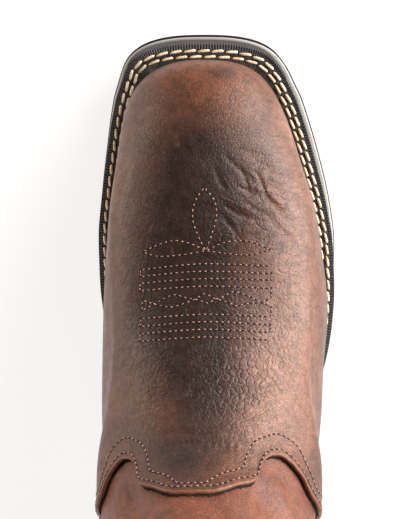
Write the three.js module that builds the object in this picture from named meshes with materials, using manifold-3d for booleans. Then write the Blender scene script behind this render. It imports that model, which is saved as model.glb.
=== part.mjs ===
// A right-foot pull-on western boot with a broad square toe and a double-stitched welt.
// Millimetres. The toe points along +Y, the outer side of the foot lies along +X and the floor is Z = 0.
// "back" is always a distance behind the tip of the sole, "inner" is the big-toe side of the foot.
import * as THREE from "three";
import Module from "manifold-3d";

const wasm = await Module();
wasm.setup();

// Driving sizes
const soleLength = 312;
const ballWidth = 106;
const soleSpread = 13;
const ankleHeight = 157;
const bootHeight = 318;
const throatWidth = 85;
const collarWidth = 112;
const heelRise = 24;
const toeSpring = 12;

// The sole is wider than the leather at the ball by its spread, shared by the welts of both sides
const soleWidth = ballWidth + soleSpread;

// Layers of the sole
const outsoleThickness = 6;
const midsoleThickness = 5;
const weltThickness = 4;
const insoleThickness = 4;
const weltSetback = 3;
const midsoleSetback = 0.6;
const treadDepth = 3.2;
const treadGroove = 5;
const treadPitch = 17;
const treadLean = 12;

// Leather
const wall = 2;
const vampThickness = 1.8;
const trimThickness = 1.2;
const fit = 0.3;
const seatFit = 0.5;
const seamWidth = 6;
const strapLoop = 24;
const strapBulge = 6.5;
const frontDip = 20;
const rearDip = 12;
const ankleLean = 2.6;

// Heel
const heelSetback = 1;
const heelTaper = 3;
const capThickness = 8;
const capGrooveDepth = 3;

// Where the sole's underside leaves the floor, as shares of the sole's length
const springEnd = 0.29;
const archStart = 0.43;
const archEnd = 0.76;
const heelBreast = 0.745;

// Plan of the sole (shares of soleWidth) and of the leather at its widest (shares of ballWidth)
const plan = [
  { along: 0.0, soleInner: 0.325, soleOuter: 0.325, upperInner: 0.253, upperOuter: 0.408 },
  { along: 0.05, soleInner: 0.345, soleOuter: 0.34, upperInner: 0.33, upperOuter: 0.359 },
  { along: 0.1, soleInner: 0.385, soleOuter: 0.4, upperInner: 0.35, upperOuter: 0.356 },
  { along: 0.18, soleInner: 0.42, soleOuter: 0.47, upperInner: 0.376, upperOuter: 0.424 },
  { along: 0.26, soleInner: 0.446, soleOuter: 0.523, upperInner: 0.415, upperOuter: 0.5 },
  { along: 0.34, soleInner: 0.455, soleOuter: 0.552, upperInner: 0.435, upperOuter: 0.542 },
  { along: 0.42, soleInner: 0.442, soleOuter: 0.56, upperInner: 0.448, upperOuter: 0.568 },
  { along: 0.5, soleInner: 0.41, soleOuter: 0.535, upperInner: 0.449, upperOuter: 0.548 },
  { along: 0.58, soleInner: 0.368, soleOuter: 0.474, upperInner: 0.436, upperOuter: 0.526 },
  { along: 0.66, soleInner: 0.335, soleOuter: 0.408, upperInner: 0.393, upperOuter: 0.477 },
  { along: 0.74, soleInner: 0.318, soleOuter: 0.36, upperInner: 0.38, upperOuter: 0.424 },
  { along: 0.82, soleInner: 0.32, soleOuter: 0.341, upperInner: 0.358, upperOuter: 0.386 },
  { along: 0.9, soleInner: 0.325, soleOuter: 0.34, upperInner: 0.346, upperOuter: 0.365 },
  { along: 1.0, soleInner: 0.316, soleOuter: 0.331, upperInner: 0.34, upperOuter: 0.36 },
];

// Level lines of the foot, from the welt (row 0) to the ankle (row 12). front and rear are shares of
// soleLength, frontUp and rearUp shares of the way from the welt to ankleHeight, and ball and heel
// are the shares of the leather's plan width that the line has there.
const footRows = [
  { front: 0.049, frontUp: 0, rear: 0.977, rearUp: 0, ball: 0.95, heel: 0.93 },
  { front: 0.044, frontUp: 0.062, rear: 0.985, rearUp: 0.088, ball: 0.985, heel: 0.975 },
  { front: 0.044, frontUp: 0.129, rear: 0.991, rearUp: 0.181, ball: 1, heel: 1 },
  { front: 0.054, frontUp: 0.2, rear: 0.993, rearUp: 0.265, ball: 0.99, heel: 1.01 },
  { front: 0.079, frontUp: 0.258, rear: 0.991, rearUp: 0.333, ball: 0.965, heel: 1.01 },
  { front: 0.122, frontUp: 0.321, rear: 0.988, rearUp: 0.4, ball: 0.92, heel: 1.005 },
  { front: 0.192, frontUp: 0.387, rear: 0.984, rearUp: 0.468, ball: 0.85, heel: 1.005 },
  { front: 0.272, frontUp: 0.449, rear: 0.979, rearUp: 0.535, ball: 0.79, heel: 1.015 },
  { front: 0.355, frontUp: 0.511, rear: 0.975, rearUp: 0.611, ball: 0.75, heel: 1.03 },
  { front: 0.435, frontUp: 0.593, rear: 0.971, rearUp: 0.687, ball: 0.75, heel: 1.045 },
  { front: 0.506, frontUp: 0.69, rear: 0.969, rearUp: 0.772, ball: 0.8, heel: 1.055 },
  { front: 0.563, frontUp: 0.823, rear: 0.967, rearUp: 0.873, ball: 0.9, heel: 1.06 },
  { front: 0.6, frontUp: 1, rear: 0.967, rearUp: 1, ball: 1, heel: 1.06 },
];

// Level lines of the shaft above the ankle. up is the share of the way from ankleHeight to bootHeight,
// flare the share of the way from throatWidth to collarWidth.
const shaftRows = [
  { front: 0.614, rear: 0.97, up: 0.125, flare: 0.2 },
  { front: 0.618, rear: 0.977, up: 0.29, flare: 0.42 },
  { front: 0.612, rear: 0.987, up: 0.51, flare: 0.65 },
  { front: 0.602, rear: 0.997, up: 0.755, flare: 0.85 },
  { front: 0.59, rear: 1.006, up: 1, flare: 1 },
];

// Roundness of the level lines at the toe, the ankle and the heel: length of the rounding as a share
// of soleLength, and the power of its superellipse
const toeRound = { long: 0.106, power: 2.49 };
const instepRound = { long: 0.19, power: 2 };
const ankleRound = { long: 0.165, power: 2.2 };
const heelRound = { long: 0.125, power: 2.15 };
const soleToeRound = { long: 0.066, power: 2.7 };

// Stretches over which the form changes: from the ball's girth to the heel's (shares of soleLength),
// and from toe to instep and from foot to shaft (level lines). The collar is level along its sides,
// between two shares round, and dips at the front and the back.
const ballToHeel = { from: 0.42, to: 0.7 };
const toeToInstep = { from: 1.5, to: 6 };
const footToShaft = { from: 8.5, to: 12 };
const soleToAnkle = { from: 0, to: 8 };
const dipping = { from: 13, to: 17 };
const collarSide = { from: 0.46, to: 0.54 };

// Side of the outsole from the tread up, with heights as shares of its thickness
const outsoleEdge = [
  { outset: -0.9, up: 0 },
  { outset: 0, up: 0.2 },
  { outset: 0, up: 0.55 },
  { outset: -0.9, up: 0.65 },
  { outset: 0, up: 0.8 },
  { outset: 0, up: 1 },
];

// The vamp's upper edge as a share round from the toe to the heel and the level line it reaches:
// a rounded tongue, a step down at its corners, and a wing that falls to the side seam
const vampEdge = [
  { round: 0, row: 11.58 },
  { round: 0.05, row: 11.53 },
  { round: 0.1, row: 11.32 },
  { round: 0.148, row: 11.06 },
  { round: 0.156, row: 10.8 },
  { round: 0.17, row: 10.58 },
  { round: 0.19, row: 10.42 },
  { round: 0.22, row: 10.28 },
  { round: 0.27, row: 10.19 },
  { round: 0.34, row: 10.07 },
  { round: 0.43, row: 9.35 },
  { round: 0.55, row: 7.6 },
  { round: 0.66, row: 5.6 },
];
const tongueShift = 0.011;
const counterEdge = [
  { round: 0.64, row: 5.6 },
  { round: 0.8, row: 5.7 },
  { round: 1, row: 6.4 },
];

// The side seam, from the welt to the collar
const sideSeam = [
  { row: 0, round: 0.674 },
  { row: 5.6, round: 0.65 },
  { row: 7, round: 0.63 },
  { row: 9, round: 0.583 },
  { row: 11, round: 0.527 },
  { row: 12, round: 0.503 },
  { row: 17, round: 0.5 },
];

const ease = (t) => {
  const c = Math.min(1, Math.max(0, t));
  return c * c * (3 - 2 * c);
};
const between = (x, { from, to }) => ease((x - from) / (to - from));
const lerp = (a, b, t) => a + (b - a) * t;

// Smooth curve through the rows of a table: cubic pieces whose slopes are those of the neighbours
function curveThrough(rows, key, value) {
  const xs = rows.map((row) => row[key]);
  const ys = rows.map((row) => row[value]);
  const last = xs.length - 1;
  const slopes = xs.map((_, i) => {
    const a = Math.max(0, i - 1);
    const b = Math.min(last, i + 1);
    return (ys[b] - ys[a]) / (xs[b] - xs[a]);
  });
  return (x) => {
    let i = 0;
    while (i < last - 1 && x > xs[i + 1]) i += 1;
    const span = xs[i + 1] - xs[i];
    const t = Math.min(1, Math.max(0, (x - xs[i]) / span));
    const rise = ys[i + 1] - ys[i];
    const a = slopes[i] * span - rise;
    const b = rise - slopes[i + 1] * span;
    return ys[i] + rise * t + t * (1 - t) * (a * (1 - t) + b * t);
  };
}

// Share of full width at a distance from the end of an outline that is rounded over a given length
function rounded(distance, { long, power }) {
  const t = Math.min(1, Math.max(0, distance / (long * soleLength)));
  return (1 - (1 - t) ** power) ** (1 / power);
}
const blend = (a, b, t) => ({ long: lerp(a.long, b.long, t), power: lerp(a.power, b.power, t) });

// Height of the outsole's underside: toe spring, flat tread, arch and heel seat
function underside(back) {
  const along = back / soleLength;
  const spring = Math.max(0, 1 - along / springEnd);
  return toeSpring * spring ** 2 + heelRise * ease((along - archStart) / (archEnd - archStart));
}

const midsoleBottom = outsoleThickness + fit;
const midsoleTop = midsoleBottom + midsoleThickness;
const weltBottom = midsoleTop + fit;
const weltTop = weltBottom + weltThickness;
const feather = (back) => underside(back) + midsoleTop + seatFit;

// Key lines of the boot from welt to collar, with their heights in millimetres
const levelLines = [
  ...footRows.map((row, i) => {
    const front = row.front * soleLength;
    const rear = row.rear * soleLength;
    return {
      row: i,
      front,
      rear,
      frontZ: lerp(feather(front), ankleHeight, row.frontUp),
      rearZ: lerp(feather(rear), ankleHeight, row.rearUp),
      ball: row.ball,
      heel: row.heel,
      shaftWidth: throatWidth,
    };
  }),
  ...shaftRows.map((row, i) => ({
    row: footRows.length + i,
    front: row.front * soleLength,
    rear: row.rear * soleLength,
    frontZ: lerp(ankleHeight, bootHeight, row.up),
    rearZ: lerp(ankleHeight, bootHeight, row.up),
    ball: 1,
    heel: footRows.at(-1).heel,
    shaftWidth: lerp(throatWidth, collarWidth, row.flare),
  })),
];
const ankleRow = footRows.length - 1;
const collarRow = levelLines.length - 1;
const level = {};
for (const name of ["front", "rear", "frontZ", "rearZ", "ball", "heel", "shaftWidth"]) {
  level[name] = curveThrough(levelLines, "row", name);
}
const planAt = {};
for (const name of ["soleInner", "soleOuter", "upperInner", "upperOuter"]) {
  planAt[name] = curveThrough(plan, "along", name);
}

// Place on the leather's outermost form. round runs from -1 (heel, inner side) over 0 (toe) to 1 (heel,
// outer side) and row from 0 (welt) to collarRow.
function outerForm(round, row) {
  const front = level.front(row);
  const rear = level.rear(row);
  const reach = Math.abs(round);
  const share = (1 - Math.cos(Math.PI * reach)) / 2;
  const back = lerp(front, rear, share);
  const along = back / soleLength;
  const toShaft = between(row, footToShaft);
  const girth = lerp(level.ball(row), level.heel(row), between(along, ballToHeel));
  const foot = planAt[round < 0 ? "upperInner" : "upperOuter"](along) * ballWidth * girth;
  const lean = round < 0 ? -ankleLean : ankleLean;
  const width = lerp(foot, level.shaftWidth(row) / 2 + lean, toShaft);
  const toe = blend(toeRound, instepRound, between(row, toeToInstep));
  const nose = rounded(back - front, blend(toe, ankleRound, toShaft));
  const tail = rounded(rear - back, blend(heelRound, ankleRound, toShaft));
  const bow = feather(back) - lerp(feather(front), feather(rear), share);
  const frontShare = 1 - ease(reach / collarSide.from);
  const rearShare = between(reach, { from: collarSide.to, to: 1 });
  const dip = (frontDip * frontShare + rearDip * rearShare) * scallop(row);
  return new THREE.Vector3(
    Math.sign(round) * width * nose * tail,
    -back,
    lerp(level.frontZ(row), level.rearZ(row), share) + bow * (1 - between(row, soleToAnkle)) - dip,
  );
}
const scallop = (row) => Math.max(0, (row - dipping.from) / (dipping.to - dipping.from)) ** 2;

// Grid of the form, shared by every leather piece so that their facets lie parallel
const columns = 40;
const half = columns / 2;
const gridRows = [];
for (let row = 0; row < toeToInstep.to; row += 0.75) gridRows.push(row);
for (let row = toeToInstep.to; row <= collarRow; row += 1) gridRows.push(row);

const roundAt = (column) => {
  const c = ((column % columns) + columns) % columns;
  return c <= half ? c / half : c / half - 2;
};
// The heel's column belongs to the outer side; its mirror image has the same place
const formGrid = gridRows.map((row) =>
  Array.from({ length: columns }, (_, column) => outerForm(roundAt(column), row)),
);
const formNormals = formGrid.map((line, r) =>
  line.map((_, column) => {
    const next = line[(column + 1) % columns];
    const before = line[(column + columns - 1) % columns];
    const above = formGrid[Math.min(r + 1, gridRows.length - 1)][column];
    const below = formGrid[Math.max(r - 1, 0)][column];
    const normal = new THREE.Vector3()
      .subVectors(before, next)
      .cross(new THREE.Vector3().subVectors(above, below));
    if (r === 0 || r === gridRows.length - 1) normal.z = 0;
    return normal.normalize();
  }),
);

// Place on the faceted leather, moved outwards by an offset
function onLeather(round, row, offset) {
  const c = (round < 0 ? round + 2 : round) * half;
  const column = Math.floor(c);
  let r = gridRows.length - 2;
  while (r > 0 && row < gridRows[r]) r -= 1;
  const across = c - column;
  const up = Math.max(0, (row - gridRows[r]) / (gridRows[r + 1] - gridRows[r]));
  const corner = (line, k) => {
    const at = (column + k) % columns;
    return formGrid[line][at].clone().addScaledVector(formNormals[line][at], offset);
  };
  const low = corner(r, 0).lerp(corner(r, 1), across);
  return low.lerp(corner(r + 1, 0).lerp(corner(r + 1, 1), across), up);
}

// Closed surface from points and triangles, with coincident points joined and flat slivers dropped
function solidFrom(points, triangles) {
  const places = new Map();
  const index = points.map((p) => {
    const key = [p.x, p.y, p.z].map((v) => Math.round(v * 1e4)).join();
    if (!places.has(key)) places.set(key, places.size);
    return places.get(key);
  });
  const positions = new Float32Array(places.size * 3);
  points.forEach((p, i) => positions.set([p.x, p.y, p.z], index[i] * 3));
  const faces = triangles
    .map((triangle) => triangle.map((i) => index[i]))
    .filter(([a, b, c]) => a !== b && b !== c && c !== a);
  return new wasm.Manifold(
    new wasm.Mesh({ numProp: 3, vertProperties: positions, triVerts: new Uint32Array(faces.flat()) }),
  );
}

// Wall of triangles between rings of points; past the last ring it closes up or ends
function wallFaces(rings, closed = false) {
  const size = rings[0].length;
  const faces = [];
  const spans = closed ? rings.length : rings.length - 1;
  for (let i = 0; i < spans; i += 1) {
    const near = i * size;
    const far = ((i + 1) % rings.length) * size;
    for (let j = 0; j < size; j += 1) {
      const k = (j + 1) % size;
      faces.push([near + j, near + k, far + k], [near + j, far + k, far + j]);
    }
  }
  return faces;
}

// Closed tube through rings of points; open ends get a cap
function loft(rings, { closed = false } = {}) {
  const triangles = wallFaces(rings, closed);
  if (!closed) {
    const last = (rings.length - 1) * rings[0].length;
    for (const [a, b, c] of THREE.ShapeUtils.triangulateShape(ringOutline(rings[0]), [])) {
      triangles.push([a, c, b]);
    }
    for (const [a, b, c] of THREE.ShapeUtils.triangulateShape(ringOutline(rings.at(-1)), [])) {
      triangles.push([last + a, last + b, last + c]);
    }
  }
  return facingOut(rings.flat(), triangles);
}

// A ring seen along its own axis, as a flat outline
function ringOutline(ring) {
  const normal = new THREE.Vector3();
  ring.forEach((p, i) => normal.add(p.clone().cross(ring[(i + 1) % ring.length])));
  normal.normalize();
  const side = new THREE.Vector3(1, 0, 0);
  if (Math.abs(normal.x) > 0.8) side.set(0, 1, 0);
  const u = side.cross(normal).normalize();
  const v = normal.clone().cross(u);
  return ring.map((p) => new THREE.Vector2(p.dot(u), p.dot(v)));
}

function facingOut(points, triangles) {
  let volume = 0;
  for (const [a, b, c] of triangles) {
    volume += points[a].dot(points[b].clone().cross(points[c]));
  }
  return solidFrom(points, volume > 0 ? triangles : triangles.map(([a, b, c]) => [a, c, b]));
}

// Solid through rings that share their numbering, closed below and above by rungs from each place on
// the outer side to its partner on the inner side
function ladderSolid(rings, rungs, partner) {
  const triangles = wallFaces(rings);
  const last = (rings.length - 1) * rings[0].length;
  for (let j = 0; j < rungs; j += 1) {
    const k = j + 1;
    const a = partner(j);
    const b = partner(k);
    triangles.push([j, a, b], [j, b, k]);
    triangles.push([last + j, last + b, last + a], [last + j, last + k, last + b]);
  }
  return facingOut(rings.flat(), triangles);
}

// Solid boot form at an offset from the outermost leather, let down below the welt line by a drop
function bootForm(offset, drop = 0) {
  const rings = gridRows.map((row, r) =>
    formGrid[r].map((p, column) => p.clone().addScaledVector(formNormals[r][column], offset)),
  );
  if (drop > 0) rings.unshift(rings[0].map((p) => p.clone().setZ(p.z - drop)));
  return ladderSolid(rings, half, (j) => (columns - j) % columns);
}

// Open leather tube between two offsets, from welt to collar
function leatherTube(outside, inside) {
  const points = [];
  for (const offset of [outside, inside]) {
    gridRows.forEach((_, r) => {
      formGrid[r].forEach((p, c) => points.push(p.clone().addScaledVector(formNormals[r][c], offset)));
    });
  }
  const lines = gridRows.length;
  const at = (skin, line, column) => (skin * lines + line) * columns + (column % columns);
  const triangles = [];
  const quad = (a, b, c, d) => triangles.push([a, b, c], [a, c, d]);
  for (let c = 0; c < columns; c += 1) {
    for (let r = 0; r + 1 < lines; r += 1) {
      quad(at(0, r, c), at(0, r, c + 1), at(0, r + 1, c + 1), at(0, r + 1, c));
      quad(at(1, r, c), at(1, r + 1, c), at(1, r + 1, c + 1), at(1, r, c + 1));
    }
    quad(at(0, 0, c), at(1, 0, c), at(1, 0, c + 1), at(0, 0, c + 1));
    const top = lines - 1;
    quad(at(0, top, c), at(0, top, c + 1), at(1, top, c + 1), at(1, top, c));
  }
  return facingOut(points, triangles);
}

// Block on the leather between two offsets, from a drop below the welt line up to a level line
function leatherBlock(rounds, top, inside, outside, drop) {
  const steps = 8;
  const rings = rounds.map((round) => {
    const line = (offset) => {
      const points = [];
      for (let i = 0; i <= steps; i += 1) points.push(onLeather(round, (top(round) * i) / steps, offset));
      const foot = points[0].clone();
      return [foot.setZ(foot.z - drop), ...points];
    };
    return [...line(outside), ...line(inside).reverse()];
  });
  return loft(rings);
}

// Outline of the sole at an outset from the outsole's edge, front to rear along the outer side and
// back along the inner side
function soleRing(outset, height, from, stations) {
  const side = (name, sign) =>
    Array.from({ length: stations + 1 }, (_, i) => {
      const step = i / stations;
      const spread = (1 - Math.cos(Math.PI * step)) / 2;
      const along = from === 0 ? spread : lerp(from, 1, Math.sin((Math.PI / 2) * step));
      const back = lerp(-outset, soleLength + outset, along);
      const nose = rounded(back + outset, soleToeRound);
      const tail = rounded(soleLength + outset - back, heelRound);
      const width = (planAt[name](along) * soleWidth + outset) * nose * tail;
      return new THREE.Vector3(sign * width, -back, height(back));
    });
  const outer = side("soleOuter", 1);
  const inner = side("soleInner", -1);
  return [...outer, ...inner.reverse()];
}

// Sole layer through outlines given from the bottom up; from sets where it starts along the sole
function soleLayer(levels, from = 0) {
  const stations = from === 0 ? 34 : 14;
  const rings = levels.map(({ outset, height }) => soleRing(outset, height, from, stations));
  return ladderSolid(rings, stations, (j) => 2 * stations + 1 - j);
}

const above = (rise) => (back) => underside(back) + rise;

// Zigzag bar across the sole that cuts one groove of the tread
function treadCut(back, top) {
  const stops = [-1, -0.5, 0, 0.5, 1];
  const rings = stops.map((x) => {
    const lean = treadLean * Math.abs(x);
    const near = back + lean - treadGroove / 2;
    const far = back + lean + treadGroove / 2;
    return [
      new THREE.Vector3(x * soleWidth, -near, -toeSpring),
      new THREE.Vector3(x * soleWidth, -far, -toeSpring),
      new THREE.Vector3(x * soleWidth, -far, top(far)),
      new THREE.Vector3(x * soleWidth, -near, top(near)),
    ];
  });
  return loft(rings);
}

function makeOutsole() {
  let sole = soleLayer(
    outsoleEdge.map(({ outset, up }) => ({ outset, height: above(outsoleThickness * up) })),
  );
  const treadEnd = archStart * soleLength;
  for (let back = treadPitch; back + treadLean < treadEnd + treadPitch; back += treadPitch) {
    sole = sole.subtract(treadCut(back, above(treadDepth)));
  }
  return sole;
}

function makeMidsole() {
  return soleLayer([
    { outset: -midsoleSetback, height: above(midsoleBottom) },
    { outset: -midsoleSetback / 2, height: above(lerp(midsoleBottom, midsoleTop, 0.5)) },
    { outset: -midsoleSetback, height: above(midsoleTop) },
  ]);
}

function makeWelt() {
  const chamfer = 0.7;
  const plate = soleLayer([
    { outset: -weltSetback, height: above(weltBottom) },
    { outset: -weltSetback, height: above(weltTop - chamfer) },
    { outset: -weltSetback - chamfer, height: above(weltTop) },
  ]);
  const room = 2 * bootHeight;
  const rear = new THREE.BoxGeometry(room, room, room);
  rear.translate(0, -heelBreast * soleLength - room / 2, 0);
  return plate.subtract(bootForm(fit, outsoleThickness)).subtract(fromGeometry(rear));
}

function makeInsole() {
  const slab = soleLayer([
    { outset: 0, height: above(weltBottom) },
    { outset: 0, height: above(weltBottom + insoleThickness) },
  ]);
  return slab.intersect(bootForm(-vampThickness - 2 * fit - wall, fit));
}

function makeHeelBlock() {
  const seat = (back) => underside(back) - fit;
  const taper = lerp(heelTaper, 0, capThickness / heelRise);
  return soleLayer(
    [
      { outset: -heelSetback - taper, height: () => capThickness + fit },
      { outset: -heelSetback - taper * 0.4, height: () => lerp(capThickness, heelRise, 0.55) },
      { outset: -heelSetback, height: seat },
    ],
    heelBreast,
  );
}

function makeHeelCap() {
  const foot = -heelSetback - heelTaper;
  const taper = lerp(heelTaper, 0, capThickness / heelRise);
  let cap = soleLayer(
    [
      { outset: foot - capGrooveDepth / 4, height: () => 0 },
      { outset: foot, height: () => capGrooveDepth / 4 },
      { outset: -heelSetback - taper, height: () => capThickness },
    ],
    heelBreast,
  );
  const heelStart = heelBreast * soleLength;
  for (let back = heelStart + treadPitch; back + treadLean < soleLength - treadPitch; back += treadPitch) {
    cap = cap.subtract(treadCut(back, () => capGrooveDepth));
  }
  return cap;
}

// Offsets of the leather pieces from the outermost form
const upperOutside = -vampThickness - fit;
const upperInside = upperOutside - wall;

const vampTop = curveThrough(vampEdge, "round", "row");
const counterTop = curveThrough(counterEdge, "round", "row");
const seamRound = curveThrough(sideSeam, "row", "round");

// Overlay between two offsets, cut out of the leather's form along its edge
function overlay(rounds, top) {
  const skin = leatherTube(0, -vampThickness);
  const clear = vampThickness / 2;
  return skin.intersect(leatherBlock(rounds, top, -vampThickness - clear, clear, weltThickness));
}

function makeVamp() {
  const end = vampEdge.at(-1).round - 0.005;
  const table = vampEdge.slice(0, -1).map((row) => row.round);
  const extra = [0.025, 0.075, 0.125, 0.205, 0.245, 0.305, 0.385, 0.49];
  const reaches = [...table, ...extra, end].sort((a, b) => a - b);
  const shift = (reach) => tongueShift * (1 - ease(reach / collarSide.from));
  const outer = reaches.map((reach) => reach - shift(reach));
  const inner = reaches.slice(1).map((reach) => -reach - shift(reach));
  const top = (round) => vampTop(Math.abs(round + shift(Math.abs(round))));
  return overlay([...inner.reverse(), ...outer], top);
}

function makeCounter() {
  const start = vampEdge.at(-1).round + 0.005;
  const steps = 8;
  const stops = Array.from({ length: steps + 1 }, (_, i) => lerp(start, 1, i / steps));
  const both = [...stops, ...stops.slice(0, -1).map((round) => -round).reverse()];
  return overlay(both, (round) => counterTop(Math.abs(round)));
}

// Raised strip along a side seam, from the counter up to the pull strap
function makeSideSeam(sign) {
  const bottom = counterEdge[0].row + 0.45;
  const top = collarRow - 1.25;
  const steps = 12;
  const rings = Array.from({ length: steps + 1 }, (_, i) => {
    const row = lerp(bottom, top, i / steps);
    const reach = seamWidth / (Math.PI * (level.rear(row) - level.front(row)));
    const place = (edge, offset) => onLeather(sign * (seamRound(row) + edge * reach), row, offset);
    const outside = upperOutside + fit + trimThickness;
    const inside = upperOutside + 1.4 * fit;
    return [place(-1, inside), place(1, inside), place(1, outside), place(-1, outside)];
  });
  return loft(rings);
}

// Binding folded over the collar
const hem = collarRow - 0.2;
function makeBinding() {
  const out = upperOutside + fit;
  const into = upperInside - fit;
  const section = (round) => {
    const place = (row, offset, rise) => {
      const p = onLeather(round, row, offset);
      return p.setZ(p.z + rise);
    };
    return [
      place(hem, out, 0),
      place(collarRow, out, fit),
      place(collarRow, into, fit),
      place(hem, into, 0),
      place(hem, into - trimThickness, 0),
      place(collarRow, into - trimThickness, fit + trimThickness),
      place(collarRow, out + trimThickness, fit + trimThickness),
      place(hem, out + trimThickness, 0),
    ];
  };
  const rings = Array.from({ length: columns }, (_, column) => section(roundAt(column)));
  return loft(rings, { closed: true });
}

// Pull strap sewn to both faces of the shaft, with a loop that stands above the collar
function makePullStrap(sign) {
  const low = collarRow - 1.15;
  const shoulder = hem - 0.06;
  const bend = hem - 0.16;
  const bound = trimThickness + 2 * fit;
  const middle = (upperOutside + upperInside) / 2;
  const leg = wall / 2 + fit;
  const crown = strapLoop - strapBulge;
  const side = (face, thick) => {
    const off = (distance) => middle + face * (distance + thick);
    const turn = [];
    const steps = 4;
    for (let i = 0; i < steps; i += 1) {
      const angle = (Math.PI / 2) * (i / steps);
      const rise = crown + (strapBulge + thick) * Math.sin(angle);
      turn.push([collarRow, off((leg + strapBulge) * Math.cos(angle)), rise]);
    }
    const legs = [[low, off(leg), 0], [bend, off(leg), 0], [shoulder, off(leg + bound), 0]];
    return [...legs, [collarRow, off(leg + bound), bound], ...turn];
  };
  const path = (thick) => [
    ...side(1, thick),
    [collarRow, middle, crown + strapBulge + thick],
    ...side(-1, thick).reverse(),
  ];
  const section = [...path(wall), ...path(0).reverse()];
  const rounds = [0.45, 0.5, 0.55].map((round) => sign * round);
  const rings = rounds.map((round) =>
    section.map(([row, offset, rise]) => {
      const p = onLeather(round, row, offset);
      return p.setZ(p.z + rise);
    }),
  );
  return loft(rings);
}

function fromGeometry(geometry) {
  const position = geometry.getAttribute("position");
  const points = Array.from({ length: position.count }, (_, i) =>
    new THREE.Vector3().fromBufferAttribute(position, i),
  );
  const index = geometry.getIndex().array;
  const triangles = [];
  for (let i = 0; i < index.length; i += 3) triangles.push([index[i], index[i + 1], index[i + 2]]);
  return facingOut(points, triangles);
}

function toGeometry(solid) {
  const { vertProperties, triVerts, numProp } = solid.getMesh();
  const geometry = new THREE.BufferGeometry();
  const count = vertProperties.length / numProp;
  const positions = new Float32Array(count * 3);
  for (let i = 0; i < count; i += 1) {
    for (let k = 0; k < 3; k += 1) positions[3 * i + k] = vertProperties[numProp * i + k];
  }
  geometry.setAttribute("position", new THREE.BufferAttribute(positions, 3));
  geometry.setIndex(new THREE.BufferAttribute(new Uint32Array(triVerts), 1));
  geometry.computeVertexNormals();
  return geometry;
}

const finishes = {
  blackRubber: { color: 0x1e1c1c, roughness: 0.62, metalness: 0 },
  paleRubber: { color: 0xcfcbc2, roughness: 0.7, metalness: 0 },
  weltRubber: { color: 0x262322, roughness: 0.5, metalness: 0 },
  brownLeather: { color: 0x6b4131, roughness: 0.5, metalness: 0 },
  shaftLeather: { color: 0x8a5643, roughness: 0.48, metalness: 0 },
  trimLeather: { color: 0x55332a, roughness: 0.52, metalness: 0 },
  insoleCloth: { color: 0x8f7a63, roughness: 0.9, metalness: 0 },
};

const boot = new THREE.Group();
boot.name = "boot";
function addPiece(name, solid, finish) {
  const mesh = new THREE.Mesh(toGeometry(solid), new THREE.MeshStandardMaterial(finishes[finish]));
  mesh.name = name;
  boot.add(mesh);
}

addPiece("outsole", makeOutsole(), "blackRubber");
addPiece("midsole", makeMidsole(), "paleRubber");
addPiece("welt", makeWelt(), "weltRubber");
addPiece("insole", makeInsole(), "insoleCloth");
addPiece("heel_block", makeHeelBlock(), "blackRubber");
addPiece("heel_cap", makeHeelCap(), "blackRubber");
addPiece("upper", leatherTube(upperOutside, upperInside), "shaftLeather");
addPiece("vamp", makeVamp(), "brownLeather");
addPiece("counter", makeCounter(), "brownLeather");
addPiece("side_seam_outer", makeSideSeam(1), "trimLeather");
addPiece("side_seam_inner", makeSideSeam(-1), "trimLeather");
addPiece("collar_binding", makeBinding(), "trimLeather");
addPiece("pull_strap_outer", makePullStrap(1), "trimLeather");
addPiece("pull_strap_inner", makePullStrap(-1), "trimLeather");

// The origin lies on the floor under the middle of the boot
const extent = new THREE.Box3().setFromObject(boot);
const middle = extent.getCenter(new THREE.Vector3());
boot.position.set(-middle.x, -middle.y, -extent.min.z);

export default boot;
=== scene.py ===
# A right-foot pull-on western boot with a broad square toe, standing empty on its sole.
# Every surface is worked out in millimetres from the tip of the sole, with "back" the distance behind
# it and "inner" the big-toe side, and is set into the frame in metres when its mesh is made.
import math

import bmesh
import bpy
import numpy as np
from mathutils import Matrix, Vector


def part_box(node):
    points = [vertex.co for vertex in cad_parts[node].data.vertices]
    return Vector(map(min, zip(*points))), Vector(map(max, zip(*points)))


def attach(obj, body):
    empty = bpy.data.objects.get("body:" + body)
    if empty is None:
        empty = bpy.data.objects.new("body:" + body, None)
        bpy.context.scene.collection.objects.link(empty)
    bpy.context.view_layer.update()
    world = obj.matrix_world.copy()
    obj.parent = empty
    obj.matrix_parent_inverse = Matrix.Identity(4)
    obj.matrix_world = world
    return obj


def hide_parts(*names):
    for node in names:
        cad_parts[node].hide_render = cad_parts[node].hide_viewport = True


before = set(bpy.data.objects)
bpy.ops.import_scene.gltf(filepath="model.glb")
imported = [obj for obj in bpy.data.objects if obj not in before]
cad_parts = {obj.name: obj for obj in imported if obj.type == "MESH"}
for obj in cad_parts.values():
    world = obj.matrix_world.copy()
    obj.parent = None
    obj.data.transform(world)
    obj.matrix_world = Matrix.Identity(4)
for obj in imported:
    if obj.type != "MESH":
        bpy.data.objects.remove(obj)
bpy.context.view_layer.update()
# The tip of the sole in the frame, in metres
tipPlace = np.array([-0.0033167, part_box("outsole")[1].y, 0.0])

# Camera: above the instep, leaning a little towards the toe and the outer side
camera = {
    "target": (2.2, 110.3, 20), "distance": 480, "toeLean": 7.0, "sideLean": 1.2, "lens": 66.59,
}


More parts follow.
